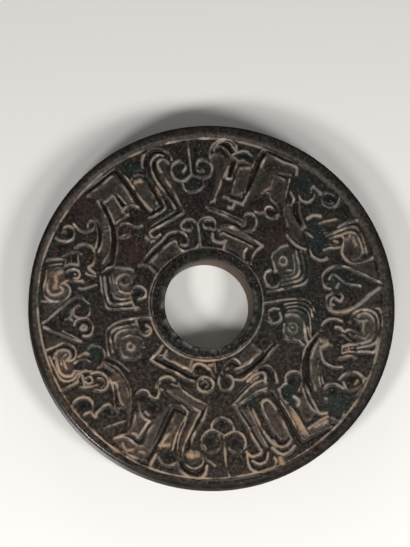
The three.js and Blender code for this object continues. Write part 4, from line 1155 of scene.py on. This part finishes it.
x, y, z = readPlaces(ring)
fromTop = disc["thickness"] - z
upper = np.clip((wear["topFade"][0] - fromTop) / wear["topFade"][1], 0, 1)
under = np.clip(1 - z / blank["footReach"], 0, 1)
for name, layer in layers.items():
    values = (sampled(layer, x, y) * upper).astype(np.float32)
    if name == "dust":
        values += (sampled(backDust, x, y) * under).astype(np.float32)
    writeAttribute(name, values)
fromHole = np.hypot(x - disc["holeTop"][0], y - disc["holeTop"][1]) - disc["holeTop"][2]
# the outer edge has its own dark colour and is dull, but for a stretch of high polish on the lower left,
# where the lighter ground colour shows as a painted reflection
outerWall = np.clip(np.hypot(x, y) - disc["radius"] + wear["edgeDepth"], 0, 1)
polishAndPaintedSheen = band(np.degrees(np.arctan2(y, x)), *wear["polishAndSheenTurn"]) * outerWall
belowTop = np.clip((fromTop - wear["wallTop"][0]) / wear["wallTop"][1], 0, 1)
writeAttribute("wall", np.clip(1 - fromHole / wear["wallFade"], 0, 1) * belowTop)
writeAttribute("outerWall", outerWall * (1 - wear["polishAndSheenLoss"] * polishAndPaintedSheen))
writeAttribute("polish", polishAndPaintedSheen)
ring.data.transform(Matrix.Translation(base))


# the stone

stone = {
    "dark": (0.003, 0.003, 0.0026), "mid": (0.011, 0.0095, 0.0085), "pale": (0.055, 0.045, 0.038),
    "brown": (0.022, 0.013, 0.010), "red": (0.042, 0.021, 0.018), "teal": (0.006, 0.026, 0.023),
    "orange": (0.12, 0.062, 0.030), "coolTan": (0.20, 0.176, 0.150), "warmTan": (0.38, 0.258, 0.170),
    "pinkTan": (0.27, 0.202, 0.175), "residue": (0.47, 0.40, 0.325), "wear": (0.15, 0.15, 0.135),
    "grooveBrown": (0.008, 0.004, 0.003), "pitBlack": (0.002, 0.0025, 0.002),
    "dust": (0.095, 0.078, 0.065), "body": (0.050, 0.041, 0.036), "fleck": (0.17, 0.15, 0.12),
    "purple": (0.034, 0.023, 0.026), "moss": (0.016, 0.026, 0.017),
    "wall": (0.15, 0.108, 0.082), "outerWall": (0.007, 0.0065, 0.006), "edgeBrown": (0.034, 0.025, 0.019),
    # each noise: scale, detail, shift and roughness
    "noises": {
        "clouds": (110, 4, 0, 0.55), "grain": (700, 4, 2, 0.55), "specks": (1900, 2, 5, 0.55),
        "brown": (60, 2, 9, 0.55), "body": (330, 4, 22, 0.55), "purple": (260, 3, 14, 0.55),
        "moss": (210, 3, 16, 0.55), "fleck": (1300, 1, 7, 0.55), "edge": (230, 6, 20, 0.65),
        "warmTan": (90, 2, 3, 0.55), "pinkTan": (140, 2, 6, 0.55), "dust": (230, 2, 12, 0.55),
        "residue": (250, 2, 11, 0.55), "wornAndGlint": (520, 3, 18, 0.55),
    },
    # each coat: its colour, the part that it lies on, and the noise that breaks it up, as the noise's
    # name, where it starts and ends in that noise, and how strongly it shows at both
    "groundCoats": [
        ("mid", None, ("clouds", 0.35, 0.65, 0, 1)),
        ("pale", None, ("grain", 0.45, 0.75, 0, 1)),
        ("brown", None, ("brown", 0.45, 0.65, 0, 0.4)),
        # the raised parts are painted a paler tone: partly the stone's own tint, partly painted sheen
        ("body", "body", ("body", 0.36, 0.62, 0.08, 0.85)),
        ("purple", None, ("purple", 0.52, 0.64, 0, 0.6)),
        ("moss", None, ("moss", 0.54, 0.66, 0, 0.6)),
        ("red", "red", ("grain", 0.3, 0.6, 0, 1)),
        ("orange", "warm", ("grain", 0.45, 0.68, 0, 0.35)),
        ("dusty", "dust", ("grain", 0.35, 0.65, 0.25, 0.8)),
        ("wall", "wall", ("grain", 0.3, 0.6, 0.5, 1)),
        ("teal", "green", ("grain", 0.3, 0.6, 0.3, 0.9)),
        # painted shade in the hollows, round the pits and on the far side, with the darker collar
        ("dark", "moatShadeAndDark", 0.8),
        ("grooveBrown", "groove", 0.85),
        ("pitBlack", "pit", 0.8),
        ("fleck", None, ("fleck", 0.66, 0.72, 0, 0.6)),
    ],
    "edgeCoats": [
        ("edgeBrown", None, ("edge", 0.36, 0.74, 0, 0.8)),
        ("pale", None, ("grain", 0.5, 0.8, 0, 0.3)),
    ],
    "tanCoats": [
        ("pinkTan", None, ("pinkTan", 0.52, 0.66, 0, 0.8)),
        ("dust", None, ("dust", 0.42, 0.3, 0, 0.55)),
        ("residue", None, ("residue", 0.56, 0.68, 0, 0.75)),
        ("mid", None, ("specks", 0.5, 0.75, 0, 0.35)),
    ],
    "dustWarmth": 0.6, "tanWarmth": 0.9, "tanClouds": ("warmTan", 0.45, 0.7, 0, 0.5), "wearShare": 0.8,
    # where the residue breaks off: noise, its share, where it starts and ends and how strongly it
    # shows at both, and the edge of the part that it lies on
    "lineResidue": ("line", "grain", 0.5, (0.28, 0.9, 0, 0.94), (0.05, 0.3)),
    "padAndGlintResidue": ("wornAndGlint", "wornAndGlint", 1.4, (0.3, 1.05, 0, 0.85), (0.1, 0.35)),
    "roughness": 0.30, "roughGrain": ("grain", 0.3, 0.8, -0.08, 0.12),
    "roughMatte": 0.4, "roughDust": 0.15, "roughCuts": 0.2, "polishSmooth": 0.4,
    "shine": 0.36, "averageShine": 0.2, "polishShine": 0.15, "dullest": 0.9,
    "dullResidue": 0.65, "dullMoatShadeAndDark": 0.7, "dullDust": 0.8,
    "bump": 0.35, "bumpDistance": 0.00025, "bumpGrain": 0.7, "bumpSpecks": 0.4,
}
material = bpy.data.materials.new("agedDarkJade")
material.use_nodes = True
tree = material.node_tree
tree.nodes.clear()


def node(kind, **settings):
    made = tree.nodes.new("ShaderNode" + kind)
    for key, value in settings.items():
        setattr(made, key, value)
    return made


def feed(made, values):
    # set or link a node's sockets
    for key, value in values.items():
        socket = made.inputs[key]
        if isinstance(value, bpy.types.NodeSocket):
            tree.links.new(value, socket)
        elif isinstance(value, tuple):
            socket.default_value = (*value, 1)
        else:
            socket.default_value = value
    return made


def maths(operation, a, b, clamp=False):
    return feed(node("Math", operation=operation, use_clamp=clamp), {0: a, 1: b}).outputs[0]


def times(a, b):
    return maths("MULTIPLY", a, b)


def plus(a, b, share, clamp=False):
    return maths("ADD", a, times(b, share), clamp)


def greatest(first, *others):
    for other in others:
        first = maths("MAXIMUM", first, other)
    return first


def between(value, start, end, least=0.0, most=1.0):
    # a soft step from least to most
    made = node("MapRange", interpolation_type="SMOOTHSTEP")
    feed(made, {"Value": value, "From Min": start, "From Max": end, "To Min": least, "To Max": most})
    return made.outputs["Result"]


def blend(amount, a, b):
    return feed(node("Mix", data_type="RGBA"), {"Factor": amount, 6: a, 7: b}).outputs[2]


def noise(scale, detail, shift, roughness):
    made = node("TexNoise", noise_dimensions="4D")
    feed(made, {"Vector": coordinates, "Scale": scale, "Detail": detail, "W": shift, "Roughness": roughness})
    return made.outputs["Fac"]


coordinates = node("TexCoord").outputs["Object"]
parts = {name: node("Attribute", attribute_name=name).outputs["Fac"]
         for name in (*layers, "wall", "outerWall", "polish")}
noises = {name: noise(*settings) for name, settings in stone["noises"].items()}


def shown(name, *settings):
    # how strongly one stretch of a noise shows
    return between(noises[name], *settings)


def coated(colour, coats):
    # lay coats of colour one over another
    for name, mask, spread in coats:
        amount = shown(*spread) if isinstance(spread, tuple) else spread
        colour = blend(times(parts[mask], amount) if mask else amount, colour, stone[name])
    return colour


def residue(mask, name, share, spread, edge):
    # what is left of the residue on a part
    ragged = plus(parts[mask], maths("SUBTRACT", noises[name], 0.5), share)
    return times(between(ragged, *spread), between(parts[mask], *edge))


# mottled dark ground, the dull outer edge and the worn edge of the hole
stone["dusty"] = blend(times(parts["warm"], stone["dustWarmth"]), stone["dust"], stone["orange"])
ground = coated(stone["dark"], stone["groundCoats"])
ground = blend(parts["outerWall"], ground, coated(stone["outerWall"], stone["edgeCoats"]))
ground = blend(times(parts["holeWear"], stone["wearShare"]), ground, stone["wear"])

# tan residue and wear on the raised lines and patches; on the small dots it is a painted glint
warmth = plus(shown(*stone["tanClouds"]), parts["warm"], stone["tanWarmth"], clamp=True)
tan = coated(blend(warmth, stone["coolTan"], stone["warmTan"]), stone["tanCoats"])
tanAmount = greatest(residue(*stone["lineResidue"]), residue(*stone["padAndGlintResidue"]))

matte = greatest(times(tanAmount, stone["dullResidue"]), greatest(parts["outerWall"], parts["wall"]))
rough = maths("ADD", stone["roughness"], shown(*stone["roughGrain"]))
rough = plus(rough, matte, stone["roughMatte"])
rough = plus(rough, parts["dust"], stone["roughDust"])
rough = plus(rough, maths("ADD", parts["groove"], parts["pit"]), stone["roughCuts"], clamp=True)
rough = times(rough, maths("SUBTRACT", 1.0, times(parts["polish"], stone["polishSmooth"])))
dull = greatest(times(parts["moatShadeAndDark"], stone["dullMoatShadeAndDark"]), times(parts["dust"], stone["dullDust"]))
dull = greatest(matte, dull)
shine = times(maths("SUBTRACT", 1.0, times(dull, stone["dullest"])), stone["shine"])
surface = plus(times(noises["grain"], stone["bumpGrain"]), noises["specks"], stone["bumpSpecks"])
bump = feed(node("Bump"), {"Strength": stone["bump"], "Distance": stone["bumpDistance"], "Height": surface})
shader = node("BsdfPrincipled")
shader.inputs["Specular IOR Level"].default_value = stone["averageShine"]
feed(shader, {
    "Base Color": blend(tanAmount, ground, tan), "Roughness": rough, "Normal": bump.outputs["Normal"],
    "Specular IOR Level": plus(shine, parts["polish"], stone["polishShine"]),
})
feed(node("OutputMaterial"), {"Surface": shader.outputs["BSDF"]})
ring.data.materials.append(material)
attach(ring, "root")
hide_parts("bi_disc")
print("stone finished")


# floor, light and camera

studio = {
    "floorSize": 2.4, "floorColour": (0.80, 0.79, 0.77), "floorRoughness": 0.8,
    # each lamp: bearing and height in degrees, distance, width and power
    "lamps": {"windowRight": (314, 42, 0.72, 0.215, 2.9), "windowLeft": (218, 39, 0.72, 0.15, 2.62),
              "softMiddle": (262, 51, 0.72, 0.235, 1.52), "lowBack": (88, 14, 1.5, 0.8, 4.5)},
    "lampColour": (1.0, 0.985, 0.96),
    "fill": 0.128, "fillColour": (1.0, 0.99, 0.98),
    # where the camera stands, what it looks at and which way is up in its view, in metres from the base
    "eye": (-0.106813, -0.158357, 1.097289),
    "look": (-0.001615, 0.013159, 0.014),
    "rise": (0.10750062, 0.98030781, 0.1656509),
    "lens": 177.57, "sensor": 36, "clip": (0.05, 10),
}
deselectAll()
bpy.ops.mesh.primitive_plane_add(size=studio["floorSize"], location=base)
floor = bpy.context.active_object
floor.name = "studioFloor"
bpy.ops.object.transform_apply(location=True, rotation=True, scale=True)
floorPaint = bpy.data.materials.new("paleFloor")
floorPaint.use_nodes = True
floorShader = floorPaint.node_tree.nodes["Principled BSDF"]
floorShader.inputs["Base Color"].default_value = (*studio["floorColour"], 1)
floorShader.inputs["Roughness"].default_value = studio["floorRoughness"]
floor.data.materials.append(floorPaint)

origin = Vector(base)
for name, (bearing, climb, distance, width, power) in studio["lamps"].items():
    bearing, climb = math.radians(bearing), math.radians(climb)
    away = Vector((math.cos(climb) * math.cos(bearing), math.cos(climb) * math.sin(bearing), math.sin(climb)))
    bpy.ops.object.light_add(type="AREA", location=origin + away * distance)
    lamp = bpy.context.active_object
    lamp.name = name
    lamp.data.shape = "DISK"
    lamp.data.size = width
    lamp.data.energy = power
    lamp.data.color = studio["lampColour"]
    lamp.rotation_euler = away.to_track_quat("Z", "Y").to_euler()

world = bpy.data.worlds.new("paleRoom")
world.use_nodes = True
room = world.node_tree.nodes["Background"]
room.inputs["Color"].default_value = (*studio["fillColour"], 1)
room.inputs["Strength"].default_value = studio["fill"]
bpy.context.scene.world = world

bpy.ops.object.camera_add(location=origin + Vector(studio["eye"]))
camera = bpy.context.active_object
camera.name = "viewFromAbove"
back = (Vector(studio["eye"]) - Vector(studio["look"])).normalized()
right = Vector(studio["rise"]).cross(back).normalized()
camera.rotation_euler = Matrix((right, back.cross(right), back)).transposed().to_euler()
camera.data.sensor_fit = "VERTICAL"
camera.data.sensor_height = studio["sensor"]
camera.data.lens = studio["lens"]
camera.data.clip_start, camera.data.clip_end = studio["clip"]
bpy.context.scene.camera = camera
bpy.context.scene.view_settings.view_transform = "Standard"
print("floor, light and camera placed")
